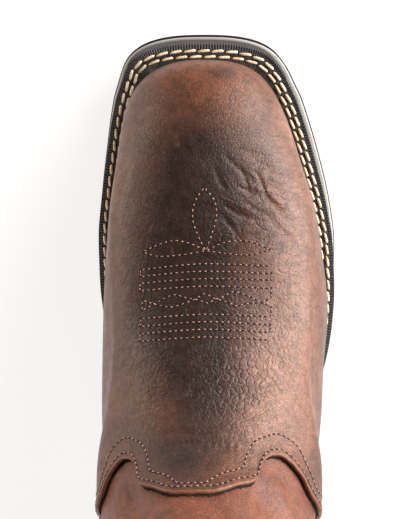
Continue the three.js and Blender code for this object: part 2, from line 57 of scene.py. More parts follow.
def makeCamera():
    toe, side = (math.radians(camera[name]) for name in ("toeLean", "sideLean"))
    back = Vector((math.sin(side) * math.cos(toe), math.sin(toe), math.cos(toe) * math.cos(side)))
    right = Vector((0, 1, 0)).cross(back).normalized()
    x, behind, z = camera["target"]
    target = Vector(np.array([x, -behind, z]) / 1000 + tipPlace)
    data = bpy.data.cameras.new("studioCamera")
    data.lens, data.sensor_width, data.clip_start = camera["lens"], 36, 0.01
    eye = bpy.data.objects.new("studioCamera", data)
    eye.matrix_world = Matrix.Translation(target + back * camera["distance"] / 1000) @ Matrix(
        (right, back.cross(right), back)).transposed().to_4x4()
    bpy.context.scene.collection.objects.link(eye)
    bpy.context.scene.camera = eye


makeCamera()
print("camera set")

# Sizes in millimetres and the tables that give the last its shape
last = {
    "soleLength": 312, "soleWidth": 119, "ballWidth": 106, "ankleHeight": 157, "bootHeight": 318,
    "throatWidth": 85, "collarWidth": 112, "heelRise": 24, "toeSpring": 12, "ankleLean": 2.6,
    "springEnd": 0.29, "archStart": 0.43, "archEnd": 0.76, "heelBreast": 0.745,
    "outsole": 6, "midsole": 5, "welt": 4, "insole": 4, "fit": 0.3, "seat": 0.5,
    "frontDip": 20, "rearDip": 12, "vampSkin": 1.8, "shaftSkin": 2,
}
plan = {
    "along": [0, 0.05, 0.1, 0.18, 0.26, 0.34, 0.42, 0.5, 0.58, 0.66, 0.74, 0.82, 0.9, 1],
    "soleInner": [0.325, 0.345, 0.385, 0.42, 0.446, 0.455, 0.442, 0.41, 0.368, 0.335, 0.318, 0.32, 0.325,
                  0.316],
    "soleOuter": [0.325, 0.34, 0.4, 0.47, 0.523, 0.552, 0.56, 0.535, 0.474, 0.408, 0.36, 0.341, 0.34, 0.331],
    "upperInner": [0.253, 0.33, 0.35, 0.376, 0.415, 0.435, 0.448, 0.449, 0.436, 0.393, 0.38, 0.358, 0.346,
                   0.34],
    "upperOuter": [0.408, 0.359, 0.356, 0.424, 0.5, 0.542, 0.568, 0.548, 0.526, 0.477, 0.424, 0.386, 0.365,
                   0.36],
}
footRows = {
    "front": [0.049, 0.044, 0.044, 0.054, 0.079, 0.122, 0.192, 0.272, 0.355, 0.435, 0.506, 0.563, 0.6],
    "frontUp": [0, 0.062, 0.129, 0.2, 0.258, 0.321, 0.387, 0.449, 0.511, 0.593, 0.69, 0.823, 1],
    "rear": [0.977, 0.985, 0.991, 0.993, 0.991, 0.988, 0.984, 0.979, 0.975, 0.971, 0.969, 0.967, 0.967],
    "rearUp": [0, 0.088, 0.181, 0.265, 0.333, 0.4, 0.468, 0.535, 0.611, 0.687, 0.772, 0.873, 1],
    "ball": [0.95, 0.985, 1, 0.99, 0.965, 0.92, 0.85, 0.79, 0.75, 0.75, 0.8, 0.9, 1],
    "heel": [0.93, 0.975, 1, 1.01, 1.01, 1.005, 1.005, 1.015, 1.03, 1.045, 1.055, 1.06, 1.06],
}
shaftRows = {
    "front": [0.614, 0.618, 0.612, 0.602, 0.59],
    "rear": [0.97, 0.977, 0.987, 0.997, 1.006],
    "up": [0.125, 0.29, 0.51, 0.755, 1],
    "flare": [0.2, 0.42, 0.65, 0.85, 1],
}
rounding = {
    "toe": (0.106, 2.49), "instep": (0.19, 2), "ankle": (0.165, 2.2), "heel": (0.125, 2.15),
    "soleToe": (0.066, 2.7),
}
changes = {
    "ballToHeel": (0.42, 0.7), "toeToInstep": (1.5, 6), "footToShaft": (8.5, 12), "soleToAnkle": (0, 8),
    "dipping": (13, 17), "collarSide": (0.46, 0.54),
}


def ease(t):
    c = np.clip(t, 0, 1)
    return c * c * (3 - 2 * c)


def between(x, span):
    return ease((x - span[0]) / (span[1] - span[0]))


def lerp(a, b, t):
    return a + (b - a) * t


def unit(vectors):
    return vectors / np.linalg.norm(vectors, axis=-1, keepdims=True)


# Smooth curve through a table: cubic pieces whose slopes are those between the neighbours
def curveThrough(xs, ys):
    xs, ys = np.asarray(xs, float), np.asarray(ys, float)
    count = len(xs)
    before, after = np.maximum(np.arange(count) - 1, 0), np.minimum(np.arange(count) + 1, count - 1)
    slopes = (ys[after] - ys[before]) / (xs[after] - xs[before])

    def value(x):
        i = np.clip(np.searchsorted(xs, x) - 1, 0, count - 2)
        span, rise = xs[i + 1] - xs[i], ys[i + 1] - ys[i]
        t = np.clip((x - xs[i]) / span, 0, 1)
        a, b = slopes[i] * span - rise, rise - slopes[i + 1] * span
        return ys[i] + rise * t + t * (1 - t) * (a * (1 - t) + b * t)
    return value


planAt = {name: curveThrough(plan["along"], plan[name]) for name in list(plan)[1:]}


# Height of the outsole's underside: toe spring falling with the square, flat tread, eased arch
def underside(back):
    along = back / last["soleLength"]
    spring = np.maximum(0, 1 - along / last["springEnd"])
    arch = between(along, (last["archStart"], last["archEnd"]))
    return last["toeSpring"] * spring ** 2 + last["heelRise"] * arch


midsoleTop = last["outsole"] + last["fit"] + last["midsole"]
weltBottom = midsoleTop + last["fit"]
weltTop = weltBottom + last["welt"]


def feather(back):
    return underside(back) + midsoleTop + last["seat"]


def levelTables():
    length, ankle, top = last["soleLength"], last["ankleHeight"], last["bootHeight"]
    front, rear = (np.array(footRows[k]) * length for k in ("front", "rear"))
    shaftZ = lerp(ankle, top, np.array(shaftRows["up"]))
    ends = np.ones(len(shaftZ))
    tables = {
        "front": np.concatenate([front, np.array(shaftRows["front"]) * length]),
        "rear": np.concatenate([rear, np.array(shaftRows["rear"]) * length]),
        "frontZ": np.concatenate([lerp(feather(front), ankle, np.array(footRows["frontUp"])), shaftZ]),
        "rearZ": np.concatenate([lerp(feather(rear), ankle, np.array(footRows["rearUp"])), shaftZ]),
        "ball": np.concatenate([footRows["ball"], ends]),
        "heel": np.concatenate([footRows["heel"], ends * footRows["heel"][-1]]),
        "width": np.concatenate([np.full(len(front), last["throatWidth"]),
                                 lerp(last["throatWidth"], last["collarWidth"],
                                      np.array(shaftRows["flare"]))]),
    }
    rows = np.arange(len(tables["front"]))
    return {name: curveThrough(rows, values) for name, values in tables.items()}


level = levelTables()


# Share of full width at a distance from a rounded end: a superellipse of the given length and power
def rounded(distance, long, power):
    t = np.clip(distance / (long * last["soleLength"]), 0, 1)
    return (1 - (1 - t) ** power) ** (1 / power)


def blend(a, b, t):
    return lerp(a[0], b[0], t), lerp(a[1], b[1], t)


# The leather's outermost form: round runs from -1 at the heel over 0 at the toe to 1 at the heel again,
# inner side first, and row from 0 at the welt over 12 at the ankle to 17 at the collar
def outerForm(round, row):
    round, row = np.broadcast_arrays(np.asarray(round, float), np.asarray(row, float))
    front, rear = level["front"](row), level["rear"](row)
    reach = np.abs(round)
    share = (1 - np.cos(np.pi * reach)) / 2
    back = lerp(front, rear, share)
    along = back / last["soleLength"]
    toShaft = between(row, changes["footToShaft"])
    girth = lerp(level["ball"](row), level["heel"](row), between(along, changes["ballToHeel"]))
    foot = np.where(round < 0, planAt["upperInner"](along), planAt["upperOuter"](along))
    foot = foot * last["ballWidth"] * girth
    lean = np.where(round < 0, -last["ankleLean"], last["ankleLean"])
    width = lerp(foot, level["width"](row) / 2 + lean, toShaft)
    toe = blend(rounding["toe"], rounding["instep"], between(row, changes["toeToInstep"]))
    nose = rounded(back - front, *blend(toe, rounding["ankle"], toShaft))
    tail = rounded(rear - back, *blend(rounding["heel"], rounding["ankle"], toShaft))
    bow = feather(back) - lerp(feather(front), feather(rear), share)
    low, high = changes["dipping"]
    dip = last["frontDip"] * (1 - ease(reach / changes["collarSide"][0]))
    dip = dip + last["rearDip"] * between(reach, (changes["collarSide"][1], 1))
    dip = dip * np.maximum(0, (row - low) / (high - low)) ** 2
    bow = bow * (1 - between(row, changes["soleToAnkle"]))
    z = lerp(level["frontZ"](row), level["rearZ"](row), share) + bow - dip
    return np.stack([np.sign(round) * width * nose * tail, -back, z], -1)


# Unit normal of the form, from the difference of its neighbours
def formNormal(round, row):
    stepRound, stepRow = 0.004, 0.02
    across = outerForm(round + stepRound, row) - outerForm(round - stepRound, row)
    up = outerForm(round, np.minimum(row + stepRow, 17)) - outerForm(round, np.maximum(row - stepRow, 0))
    return unit(np.cross(up, across))


# Place on the leather, moved outwards by an offset
def onLeather(round, row, offset=0.0):
    return outerForm(round, row) + formNormal(round, row) * np.asarray(offset)[..., None]


# Where a point of the top, given by its side x and its back, lies on the form: the nearest place of a
# coarse grid, then Newton's steps on both parameters
coarse = np.meshgrid(np.linspace(-0.5, 0.5, 101), np.linspace(3, 13, 101))
coarseTop = outerForm(*coarse)[..., :2].reshape(-1, 2)
search = {"round": 0.002, "row": 0.02, "mostRound": 0.03, "mostRow": 0.3, "steps": 4, "least": 1e-3}


# How the form's plan moves with round or with row
def slope(round, row, stepRound, stepRow):
    ahead = outerForm(round + stepRound, row + stepRow)
    behind = outerForm(round - stepRound, row - stepRow)
    return (ahead - behind)[:, :2] / (2 * (stepRound + stepRow))


def findOnTop(x, back):
    want = np.stack([np.ravel(x), -np.ravel(back)], -1)
    nearest = np.argmin(((want[:, None] - coarseTop[None]) ** 2).sum(-1), axis=1)
    round, row = coarse[0].ravel()[nearest], coarse[1].ravel()[nearest]
    for _ in range(search["steps"]):
        gap = want - outerForm(round, row)[:, :2]
        a, b = slope(round, row, search["round"], 0), slope(round, row, 0, search["row"])
        det = a[:, 0] * b[:, 1] - a[:, 1] * b[:, 0]
        det = np.where(np.abs(det) < search["least"], search["least"], det)
        turn = (gap[:, 0] * b[:, 1] - gap[:, 1] * b[:, 0]) / det
        climb = (gap[:, 1] * a[:, 0] - gap[:, 0] * a[:, 1]) / det
        round = round + np.clip(turn, -search["mostRound"], search["mostRound"])
        row = row + np.clip(climb, -search["mostRow"], search["mostRow"])
    return round, row


# Length along a line of points up to each of them
def runningLength(points):
    return np.concatenate([[0], np.cumsum(np.linalg.norm(np.diff(points, axis=0), axis=1))])


# Values of a line of points at other places along it
def pick(where, steps, values):
    return np.stack([np.interp(where, steps, values[:, k]) for k in range(values.shape[1])], -1)


# Quads of a grid of points whose lines or columns may close up
def gridFaces(lines, columns, closeLines=False, closeColumns=False):
    i = np.arange(lines if closeLines else lines - 1)[:, None]
    j = np.arange(columns if closeColumns else columns - 1)[None, :]
    a, b = i * columns + j, i * columns + (j + 1) % columns
    c, d = ((i + 1) % lines) * columns + (j + 1) % columns, ((i + 1) % lines) * columns + j
    return np.stack([a, b, c, d], -1).reshape(-1, 4)


# Quads of a closed tube of rings: its wall, and at each end a fan from the ring's first corner
def tubeFaces(lines, columns):
    fan = np.array([[0, k + 2, k + 1, k] for k in range(1, columns - 2, 2)])
    end = (lines - 1) * columns
    return np.concatenate([gridFaces(lines, columns, closeColumns=True), fan, fan[:, ::-1] + end])


# Quads of many equal forms, each of which has the given count of points
def repeatFaces(one, count, size):
    return (one[None] + (np.arange(count) * size)[:, None, None]).reshape(-1, 4)


# Mesh from points and quads. Corner order follows the quads, and a closed form that comes out inside out
# is turned round by the sign of its volume
def buildMesh(name, points, faces, fields=None, turn=None):
    points = np.asarray(points, float).reshape(-1, 3)
    if turn is None:
        a, b, c, d = (points[faces[:, k]] for k in range(4))
        turn = np.einsum("ij,ij->i", a, np.cross(b, c) + np.cross(c, d)).sum() < 0
    if turn:
        faces = faces[:, ::-1]
    mesh = bpy.data.meshes.new(name)
    mesh.vertices.add(len(points))
    mesh.vertices.foreach_set("co", (points / 1000 + tipPlace).astype(np.float32).ravel())
    mesh.loops.add(faces.size)
    mesh.loops.foreach_set("vertex_index", faces.astype(np.int32).ravel())
    mesh.polygons.add(len(faces))
    mesh.polygons.foreach_set("loop_start", np.arange(0, faces.size, 4, dtype=np.int32))
    mesh.update(calc_edges=True)
    mesh.validate()
    mesh.polygons.foreach_set("use_smooth", np.ones(len(mesh.polygons), bool))
    for field, values in (fields or {}).items():
        attribute = mesh.attributes.new(field, "FLOAT", "POINT")
        attribute.data.foreach_set("value", np.asarray(values, np.float32).ravel())
    return mesh


# One mesh from several parts (points, quads), welded where their edges meet. Hard edges are those sharper
# than the given angle
weldDistance = 2e-6


def joinParts(name, parts, sharp=45, fields=None):
    stacks = [np.asarray(points, float).reshape(-1, 3) for points, _ in parts]
    starts = np.cumsum([0] + [len(own) for own in stacks[:-1]])
    faces = np.concatenate([quads + start for (_, quads), start in zip(parts, starts)])
    mesh = buildMesh(name, np.concatenate(stacks), faces, fields, turn=False)
    body = bmesh.new()
    body.from_mesh(mesh)
    bmesh.ops.remove_doubles(body, verts=body.verts, dist=weldDistance)
    bmesh.ops.recalc_face_normals(body, faces=body.faces)
    body.to_mesh(mesh)
    body.free()
    mesh.set_sharp_from_angle(angle=math.radians(sharp))
    return mesh


def addPiece(name, mesh, material, slot, *nodes):
    piece = bpy.data.objects.new(name, mesh)
    bpy.context.scene.collection.objects.link(piece)
    mesh.materials.append(material)
    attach(piece, "root")
    if nodes:
        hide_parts(*nodes)
    print("made", name, len(mesh.polygons), "faces")


# Outline of the sole at an outset from the outsole's edge, as sides x and backs: from the tip (or a
# later start) to the heel along the outer side and forward again along the inner side. Behind the toe its
# outer side is a little fuller and its inner side a little slimmer than the last's plan
soleTrim = {"fuller": 1.5, "from": (8, 20), "to": (96, 120), "slimmer": 0.5, "slimTo": (110, 130)}


def soleRing(outset, stations, start=0.0):
    s = soleTrim
    step = np.linspace(0, 1, stations + 1)
    along = (1 - np.cos(np.pi * step)) / 2 if start == 0 else lerp(start, 1, np.sin(np.pi / 2 * step))
    back = lerp(-outset, last["soleLength"] + outset, along)
    ends = rounded(back + outset, *rounding["soleToe"])
    ends = ends * rounded(last["soleLength"] + outset - back, *rounding["heel"])
    fuller = s["fuller"] * between(back, s["from"]) * (1 - between(back, s["to"]))
    slimmer = s["slimmer"] * (1 - between(back, s["slimTo"]))
    outer = (planAt["soleOuter"](along) * last["soleWidth"] + outset + fuller) * ends
    inner = (planAt["soleInner"](along) * last["soleWidth"] + outset - slimmer) * ends
    return np.concatenate([np.stack([outer, back], -1), np.stack([-inner, back], -1)[::-1]])


# Points of a plan at a height, and at a rise above the sole's underside
def atHeight(ring, height):
    return np.stack([ring[..., 0], -ring[..., 1], height + 0 * ring[..., 0]], -1)


def raised(ring, rise):
    return atHeight(ring, underside(ring[..., 1]) + rise)


# Wall through rings of the sole, and flat fill between the two sides of one ring
def soleWall(rings):
    stack = np.stack(rings)
    return stack, gridFaces(len(rings), stack.shape[1], closeColumns=True)


def soleFill(ring, columns):
    half = len(ring) // 2
    grid = lerp(ring[:half, None], ring[half:][::-1][:, None], np.linspace(0, 1, columns)[None, :, None])
    return grid, gridFaces(half, columns)


# Depth of the tread: flat-bottomed grooves whose centre lines bend back with the distance from the middle
def treadAt(x, back, setting):
    bent = back - setting["lean"] * np.abs(x) / last["soleWidth"]
    off = np.abs((bent + setting["pitch"] / 2) % setting["pitch"] - setting["pitch"] / 2)
    inRange = (bent > setting["pitch"] / 2) & (bent < setting["end"])
    depth = ease((setting["groove"] / 2 + setting["wall"] / 2 - off) / setting["wall"])
    return setting["depth"] * inRange * depth


# Outsole: side with one fine groove, and a tread of shallow chevron grooves under the ball
outsoleSet = {
    "thickness": 6, "pitch": 17, "groove": 5, "depth": 3.2, "lean": 12, "end": 139, "wall": 0.9,
    "stations": 380, "columns": 60,
    "outset": [-0.9, -0.3, 0, 0, -0.05, -0.8, -0.8, -0.05, 0, 0, -0.12],
    "up": [0, 0.05, 0.14, 0.5, 0.58, 0.62, 0.68, 0.73, 0.8, 0.98, 1],
}


def makeOutsole():
    s = outsoleSet
    rings = []
    for outset, up in zip(s["outset"], s["up"]):
        ring = soleRing(outset, s["stations"])
        rings.append(raised(ring, np.maximum(up * s["thickness"], treadAt(ring[:, 0], ring[:, 1], s))))
    tread, quads = soleFill(rings[0], s["columns"])
    back = -tread[..., 1]
    tread[..., 2] = underside(back) + treadAt(tread[..., 0], back, s)
    return joinParts("outsoleRubber", [soleWall(rings), (tread, quads), soleFill(rings[-1], 3)], 35)


# Midsole: a pale band with softly rounded edges, set further back at the toe
midsoleSet = {
    "bottom": 6.3, "thickness": 5, "setback": 0.75, "toeSetback": 0.7, "toe": (0, 14), "round": 0.9,
    "stations": 300,
}


def makeMidsole():
    s = midsoleSet
    rings = []
    for angle in np.radians(np.linspace(-90, 90, 13)):
        ring = soleRing(-s["setback"] - s["round"] * (1 - np.cos(angle)), s["stations"])
        ring[:, 1] += s["toeSetback"] * (1 - between(ring[:, 1], s["toe"]))
        rings.append(raised(ring, s["bottom"] + s["thickness"] / 2 * (1 + np.sin(angle))))
    return joinParts("midsoleBand", [soleWall(rings), soleFill(rings[0], 3), soleFill(rings[-1], 12)], 60)


# Welt: a path from the breast of the heel round the toe, and on it a section from the leather to the edge.
# Each point of the section has its inset, its drop, and how much the toe's shift and the ribs move it
weltSet = {
    "outerBack": [0, 65, 90, 118, 150, 400], "outerSetback": [3.1, 3, 2.3, 0.6, 0.25, 1],
    "innerBack": [0, 25, 45, 75, 95, 400], "innerSetback": [3.1, 2.3, 1.5, 1.1, 0.25, 0.8],
    "ribPitch": 1.4, "ribDepth": 0.42, "perRib": 5, "least": 1.2, "under": 0.6, "toeShift": 2.0,
    "leatherRow": 0.42, "face": 0.2, "plainToe": 0.4, "rim": 0.32,
    "section": [
        (0, -4, 0, 0), (0, -1.1, 0, 0.6), (0.15, -0.5, 0, 1), (0.3, -0.3, 1, 0), (0.45, -0.1, 1, 1),
        (1, 0, 1, 1),
        (1.8, 0, 1, 1), (2.5, 0, 1, 0.9), (2.8, -0.05, 1, 0), (3.1, -0.25, 1, 0.3), (3.9, -0.25, 1, 0.3),
        (4.5, 0, 1, 0.3), (5.6, 0, 1, 0.3), (6.1, -0.2, 1, 0.3), (6.6, -0.2, 1, 0.3), (7.2, 0, 1, 0.5),
        (99, 0, 0, 0.5), (99, -4, 0, 0)],
}


# The welt's edge, spaced evenly along its length, with its outward direction in plan: the sole's outline
# set back by a distance of its own for each side
def weltPath(count):
    s = weltSet
    ring = soleRing(0, 4000)
    half = len(ring) // 2
    outer, inner = ring[:half], ring[half:][::-1]
    keep = outer[:, 1] <= last["heelBreast"] * last["soleLength"]
    path = np.concatenate([outer[keep][::-1], inner[keep][1:]])
    steps = runningLength(path)
    at = np.linspace(0, steps[-1], count)
    path = pick(at, steps, path)
    way = unit(np.gradient(path, axis=0))
    outward = np.stack([-way[:, 1], way[:, 0]], -1)
    if outward[count // 2, 1] > 0:
        outward = -outward
    setback = np.where(path[:, 0] > 0, np.interp(path[:, 1], s["outerBack"], s["outerSetback"]),
                       np.interp(path[:, 1], s["innerBack"], s["innerSetback"]))
    return path - outward * setback[:, None], outward, at


# Distance from places on a path inwards to the leather, at the height of the welt's top
def leatherGap(path, outward):
    outline = outerForm(np.linspace(-0.9, 0.9, 1200), weltSet["leatherRow"])
    outline = np.stack([outline[:, 0], -outline[:, 1]], -1)
    nearest = np.linalg.norm(path[:, None] - outline[None], axis=-1).argmin(axis=1)
    return np.einsum("ij,ij->i", path - outline[nearest], outward)


# Share of a place in the toe's front, by the square of how far its edge faces forward
def toeShare(outward):
    return np.clip(-outward[:, 1], 0, 1) ** 2


# At the toe the ribs and seams stand further in, behind a smooth rim. The rim field is over 0 on that rim
# and under 0 between the ribs, where it paints shade into the grooves
def makeWelt():
    s = weltSet
    count = int(weltPath(10)[2][-1] / s["ribPitch"] * s["perRib"])
    path, outward, at = weltPath(count)
    width = np.maximum(leatherGap(path, outward) + s["under"], s["least"])
    rib = 0.5 - 0.5 * np.cos(2 * np.pi * at / s["ribPitch"])
    toe = s["toeShift"] * toeShare(outward)
    rows, rims = [], []
    for inset, drop, moved, ribbed in s["section"]:
        cut = ribbed * s["ribDepth"] * rib
        onTop = inset >= s["face"]
        into = np.minimum(inset + moved * toe, width) + (0 if onTop else cut * (toe < s["plainToe"]))
        rows.append(raised(path - outward * into[:, None], weltTop + drop - onTop * cut))
        rims.append(toe if inset < s["rim"] else -rib * ribbed)
    grid = np.stack(rows, axis=1)
    return joinParts("weltRubber", [(grid, tubeFaces(*grid.shape[:2]))], 50, {"rim": np.stack(rims, axis=1)})


# Insole: a thin board on the welt's level, inside the leather
insoleSet = {"row": 0.45, "inset": 4.9, "rise": [0, 3.4, 4]}


def makeInsole():
    s = insoleSet
    edge = onLeather(np.linspace(-1, 1, 201)[:-1], s["row"], -s["inset"])
    ring = np.stack([edge[:, 0], -edge[:, 1]], -1)
    ring = np.concatenate([ring[100:], ring[:1], ring[:101]])
    rings = [raised(ring, weltBottom + rise) for rise in s["rise"]]
    return joinParts("insoleCloth", [soleWall(rings), soleFill(rings[0], 3), soleFill(rings[-1], 14)], 60)


# Heel: stacked layers with fine lines between them, and a grooved rubber cap under them
heelSet = {
    "setback": 1, "taper": 3, "cap": 8, "layers": 3, "line": 0.35, "lineWidth": 0.07, "lines": 25,
    "stations": 160,
    "across": 12, "hollow": 2.2, "pitch": 17, "groove": 5, "depth": 3, "lean": 12, "wall": 0.9,
    "lastGroove": 13,
    "capRise": [0, 0.35, 0.9, 3.4, 6.8, 7.6, 8], "capOutset": [-0.75, -0.2, 0, 0.4, 1, 0.95, 0.7],
}


# The heel's outline: the sole's behind the breast, closed by a front that bows backwards
def heelRing(outset):
    ring = soleRing(outset, heelSet["stations"], last["heelBreast"])
    share = np.linspace(0, 1, heelSet["across"])[1:-1]
    front = lerp(ring[-1], ring[0], share[:, None])
    front[:, 1] += heelSet["hollow"] * np.sin(np.pi * share)
    return np.concatenate([ring, front])


def heelFill(ring, columns):
    half = heelSet["stations"] + 1
    outer, inner = ring[:half], ring[half:2 * half][::-1]
    share = np.linspace(0, 1, columns)
    grid = lerp(outer[:, None], inner[:, None], share[None, :, None])
    front = np.concatenate([ring[:1], ring[2 * half:][::-1], inner[:1]])
    grid[0] = pick(share, np.linspace(0, 1, len(front)), front)
    return grid, gridFaces(len(grid), columns)


def makeHeelBlock():
    s = heelSet
    rings = []
    for t in np.linspace(0, 1, s["lines"]):
        layer = (t * s["layers"]) % 1
        line = s["line"] * np.exp(-(min(layer, 1 - layer) / s["lineWidth"]) ** 2) * (0.02 < t < 0.98)
        ring = heelRing(-s["setback"] - s["taper"] * (1 - t) * (1 - s["cap"] / last["heelRise"]) - line)
        rings.append(atHeight(ring, lerp(s["cap"] + last["fit"], underside(ring[:, 1]) - last["fit"], t)))
    return joinParts("heelStack", [soleWall(rings), heelFill(rings[0], 12), heelFill(rings[-1], 12)], 40)


def makeHeelCap():
    s = heelSet
    start = last["heelBreast"] * last["soleLength"]
    setting = {**s, "end": last["soleLength"] - start - s["lastGroove"]}
    rings = []
    for rise, outset in zip(s["capRise"], s["capOutset"]):
        ring = heelRing(outset - s["setback"] - s["taper"])
        rings.append(atHeight(ring, np.maximum(rise, treadAt(ring[:, 0], ring[:, 1] - start, setting))))
    tread, quads = heelFill(rings[0], 40)
    tread[..., 2] = treadAt(tread[..., 0], -tread[..., 1] - start, setting)
    return joinParts("heelRubber", [soleWall(rings), (tread, quads), heelFill(rings[-1], 4)], 35)


# Creases and folds of the leather: each is a curve through three points of the top,
# given as side x and back, with its half width and its height (a negative height is a trough)
creases = [
    # net of wrinkles on the outer side of the toe box, running back and outwards
    ((11, 58), (17, 64), (27, 71), 1.1, -0.55), ((22, 58), (32, 64), (45, 67), 1.2, -0.4),
    ((16, 71), (22, 74), (29, 76), 1.2, -0.5), ((10, 79), (18, 84), (27, 86), 1, -0.6),
    ((8, 83), (13, 88), (18, 95), 1, -0.45), ((27, 74), (33, 80), (40, 87), 1.2, -0.55),
    ((17, 55), (27, 58), (40, 60), 1.1, -0.4), ((24, 65), (27, 70), (29, 76), 1, -0.4),
    ((30, 87), (36, 91), (44, 99), 1.2, -0.4), ((19, 78), (27, 83), (35, 85), 1.1, -0.5),
    ((6, 62), (9, 70), (13, 73), 1, -0.35), ((17, 63), (20, 69), (22, 76), 1, -0.35),
    ((13, 61), (20, 66), (28, 68), 1.8, 0.3), ((13, 81), (20, 80), (28, 83), 1.8, 0.35),
    ((24, 71), (31, 75), (38, 81), 2, 0.3), ((20, 62), (28, 66), (38, 70), 1.8, 0.25),
    # creases across the vamp, where the foot bends
    ((-15, 174), (3, 171), (28, 176), 0.9, -0.5), ((-19, 170), (-3, 168), (9, 170), 0.8, -0.35),
    ((9, 168), (17, 170), (22, 172), 0.8, -0.35), ((-10, 176), (4, 175), (24, 180), 1.6, 0.25),
]
# Wide, shallow hollows and swellings: centre x and back, half lengths across and along, height
swells = [
    (-24, 90, 16, 30, -0.4), (20, 120, 18, 30, 0.5), (-5, 60, 24, 18, 0.35), (26, 160, 14, 24, 0.5),
    (-22, 150, 16, 26, 0.45),
]
# Soft patches of the hide and of painted light, placed by hand: centre x and back, half sizes, strength
hideMarks = {
    "dark": [(0, 56, 20, 14, 0.75), (-11, 86, 20, 28, 0.95), (-3, 116, 24, 22, 0.9), (1, 148, 15, 26, 0.95),
             (14, 82, 15, 18, 0.5), (9, 20, 8, 4, 0.5), (16, 156, 6, 5, 0.3), (-18, 132, 18, 22, 0.5),
             (0, 100, 14, 60, 0.4),
             (-10, 176, 16, 8, 0.6), (-14, 32, 10, 8, 0.4)],
    # pale: partly paler hide, mostly painted highlight: the key lamp's sheen on the outer side of the toe
    # and vamp, and painted rim light on the inner side at x -38
    "pale": [(42, 40, 8, 18, 1), (42, 78, 9, 22, 0.7), (39, 112, 10, 26, 0.6), (28, 150, 13, 18, 0.7),
             (29, 168, 15, 10, 0.5), (44, 140, 9, 34, 0.7), (-38, 55, 7, 34, 0.6)],
    # warm: orange tints of the hide; the two long strips along the sides, at x -40 and 51, are painted warm
    # rim light at the edges
    "warm": [(-1, 22, 40, 16, 1), (8, 43, 6, 4, 0.45), (18, 90, 7, 4, 0.5), (18, 100, 8, 6, 0.6),
             (12, 108, 11, 7, 0.45),
             (13, 122, 7, 5, 0.4), (10, 131, 7, 5, 0.4), (43, 158, 8, 26, 0.5), (12, 183, 26, 8, 0.8),
             (-40, 120, 7, 75, 0.6), (51, 88, 7, 60, 0.5), (-12, 165, 8, 6, 0.5)],
    "net": [(26, 75, 20, 18, 0.45), (15, 91, 12, 10, 0.4), (40, 110, 12, 40, 0.35), (-38, 110, 12, 40, 0.2)],
    "tumbled": [(22, 153, 17, 18, 0.6), (36, 140, 10, 14, 0.5), (15, 125, 10, 10, 0.2),
                (-25, 150, 20, 18, 0.4)],
}


def markFields(place):
    x, back = place[..., 0], -place[..., 1]
    fields = {}
    for name, marks in hideMarks.items():
        fields[name] = sum(rise * np.exp(-((x - cx) / across) ** 2 - ((back - cb) / along) ** 2)
                           for cx, cb, across, along, rise in marks)
    return fields


# Height that folds add: a bell across each curve, which bends through its middle point and fades at its ends
foldReach = 30


def foldHeight(place, folds):
    x, back = place[..., 0], -place[..., 1]
    height = np.zeros(np.shape(x))
    t = np.linspace(0, 1, 17)
    for a, b, c, width, rise in folds:
        curve = [(1 - t) ** 2 * start + 2 * t * (1 - t) * (2 * middle - (start + end) / 2) + t ** 2 * end
                 for start, middle, end in zip(a, b, c)]
        near = (np.abs(x - b[0]) < foldReach) & (np.abs(back - b[1]) < foldReach)
        gap = (x[near][:, None] - curve[0]) ** 2 + (back[near][:, None] - curve[1]) ** 2
        at = gap.argmin(axis=1)
        fade = np.sin(np.pi * np.clip(t[at], 0.04, 0.96)) ** 0.6
        height[near] += rise * fade * np.exp(-gap.min(axis=1) / width ** 2)
    return height


def relief(place):
    height = foldHeight(place, creases)
    for cx, cb, across, along, rise in swells:
        height += rise * np.exp(-((place[..., 0] - cx) / across) ** 2 - ((-place[..., 1] - cb) / along) ** 2)
    return height


# Vamp's upper edge: the row it reaches at a share round from the toe, shifted a little to one side
vampEdge = {
    "round": [0, 0.05, 0.1, 0.148, 0.156, 0.17, 0.19, 0.22, 0.27, 0.34, 0.43, 0.55, 0.66],
    "row": [11.58, 11.53, 11.32, 11.06, 10.8, 10.58, 10.42, 10.28, 10.19, 10.07, 9.35, 7.6, 5.6],
    "shift": 0.011, "shiftEnd": 0.46, "end": 0.655,
}
counterEdge = {"round": [0.64, 0.8, 1], "row": [5.6, 5.7, 6.4]}
sideSeam = {"row": [0, 5.6, 7, 9, 11, 12, 17], "round": [0.674, 0.65, 0.63, 0.583, 0.527, 0.503, 0.5]}
vampTop = curveThrough(vampEdge["round"], vampEdge["row"])
counterTop = curveThrough(counterEdge["round"], counterEdge["row"])
seamRound = curveThrough(sideSeam["row"], sideSeam["round"])
shaftOffset = -last["vampSkin"] - last["fit"]


def shiftAt(reach):
    return vampEdge["shift"] * (1 - ease(reach / vampEdge["shiftEnd"]))


def vampReach(round):
    return np.abs(round + shiftAt(np.abs(round)))


# Surface of the vamp or counter with its relief, which fades at the welt
def vampSkin(round, row, offset=0.0):
    place = outerForm(round, row)
    rise = relief(place) * between(row, (1.2, 2.6)) + offset
    return place + formNormal(round, row) * rise[..., None]


